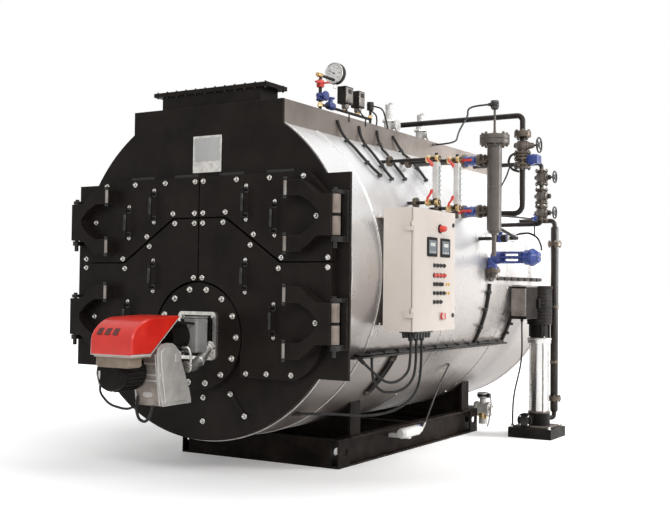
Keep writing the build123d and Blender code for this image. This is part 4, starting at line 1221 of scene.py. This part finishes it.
for i in (len(elbow) // 5, len(elbow) // 2, 4 * len(elbow) // 5):
    d = (elbow[i + 1] - elbow[i - 1]).normalized()
    s.hoop(elbow[i], d, 34.5, 4, 28, 8)
    s.turned(elbow[i] + X * 36, X, [(8, 0), (8, 10)], 8)
s.hose([(100, -330, 860), (150, -320, 860), (150, -300, 800), (140, -290, 760)], 9, 12)
s.done("burner_elbow", silver)
s.hose([(-60, -560, 560), (-75, -560, 480), (-50, -560, 415), (0, -560, 400), (40, -560, 430),
    (60, -555, 505)], 9.5, 12)
s.hose([(-150, -802, 640), (-150, -800, 590), (-110, -760, 520), (-80, -640, 480), (-60, -570, 500)], 7.5,
    12)
s.done("burner_cables", cable)

# Rear door trim: a bolt ring and the bolts of a sight port, plain as nothing of that side is known
for a, b in around(20, 520):
    s.bolt(at(a, 3745, 1324 + b), Y, 18)
for a, b in around(8, 106):
    s.bolt(at(a, 3745, 960 + b), Y, 12, False)
s.done("rear_bolts", silver)

# Base: weld beads along the beams and plates at the posts
for side in (-1, 1):
    for y in (880, 2790):
        s.tube([at(side * 692, y - 70, 202), at(side * 692, y + 70, 202)], 4, 8)
        s.brick(at(side * 680, y, 206), (70, 190, 10), 3)
s.done("base_welds", rail)

# Floor, lights and background
def seen_straight(tree):
    """1 for rays from the camera, mirrored ones and those let through, 0 for the light on other pieces."""
    rays = tree.nodes.new("ShaderNodeLightPath")
    value = rays.outputs["Is Camera Ray"]
    for name in ("Is Glossy Ray", "Is Transmission Ray"):
        most = tree.nodes.new("ShaderNodeMath")
        most.operation = "MAXIMUM"
        tree.links.new(value, most.inputs[0])
        tree.links.new(rays.outputs[name], most.inputs[1])
        value = most.outputs[0]
    return value


floor_mesh = bpy.data.meshes.new("floor")
floor_mesh.from_pydata([(-60, -60, 0), (60, -60, 0), (60, 60, 0), (-60, 60, 0)], [], [(0, 1, 2, 3)])
floor = add_object("floor", floor_mesh)
ground = Paint("pale floor")
ground.colour(ground.ramp(ground.noise(1.2, 3), [(0.3, (0.9, 0.9, 0.9)), (0.7, (0.93, 0.93, 0.93))]))
ground.shader.inputs["Roughness"].default_value = 0.7
seen = seen_straight(ground.tree)
away = ground.maths("SQRT", ground.maths("ADD", ground.maths("POWER", ground.axis("X"), 2.0),
    ground.maths("POWER", ground.axis("Y"), 2.0)))
ground.shader.inputs["Emission Color"].default_value = (1, 1, 1, 1)
lift = ground.spread(away, 1.8, 5.0, 0.22, 1.0)
ground.link(ground.maths("MULTIPLY", seen, lift), ground.shader.inputs["Emission Strength"])
floor_mesh.materials.append(ground.mat)

world = bpy.data.worlds.new("studio")
bpy.context.scene.world = world
world.use_nodes = True
tree = world.node_tree
power = tree.nodes.new("ShaderNodeMapRange")
power.inputs["To Min"].default_value = 0.38
power.inputs["To Max"].default_value = 1.0
tree.links.new(seen_straight(tree), power.inputs["Value"])
back = tree.nodes["Background"]
back.inputs["Color"].default_value = (1, 1, 1, 1)
tree.links.new(power.outputs["Result"], back.inputs["Strength"])


def lamp(name, place, aim, size, watts, spread=180):
    light = bpy.data.lights.new(name, "AREA")
    light.spread = radians(spread)
    light.shape = "RECTANGLE"
    light.size, light.size_y = size
    light.energy = watts
    made = add_object(name, light)
    d = (Vector(aim) - Vector(place)).normalized()
    made.matrix_world = Matrix.Translation(Vector(place)) @ d.to_track_quat("-Z", "Y").to_matrix().to_4x4()


lamp("key", (6.5, -3.5, 5.0), (0.6, 0.0, 1.4), (3.5, 3.5), 185)
lamp("front_fill", (3.2, -8.5, 5.6), (0.3, -1.8, 1.8), (3.0, 2.0), 165)
lamp("rear_side", (5.5, 2.8, 2.6), (1.0, 1.6, 1.3), (2.4, 2.4), 85, 50)
lamp("top", (1.0, 0.3, 6.5), (0.2, 0.2, 1.0), (3.0, 6.0), 140)

bpy.context.scene.view_settings.view_transform = "Standard"
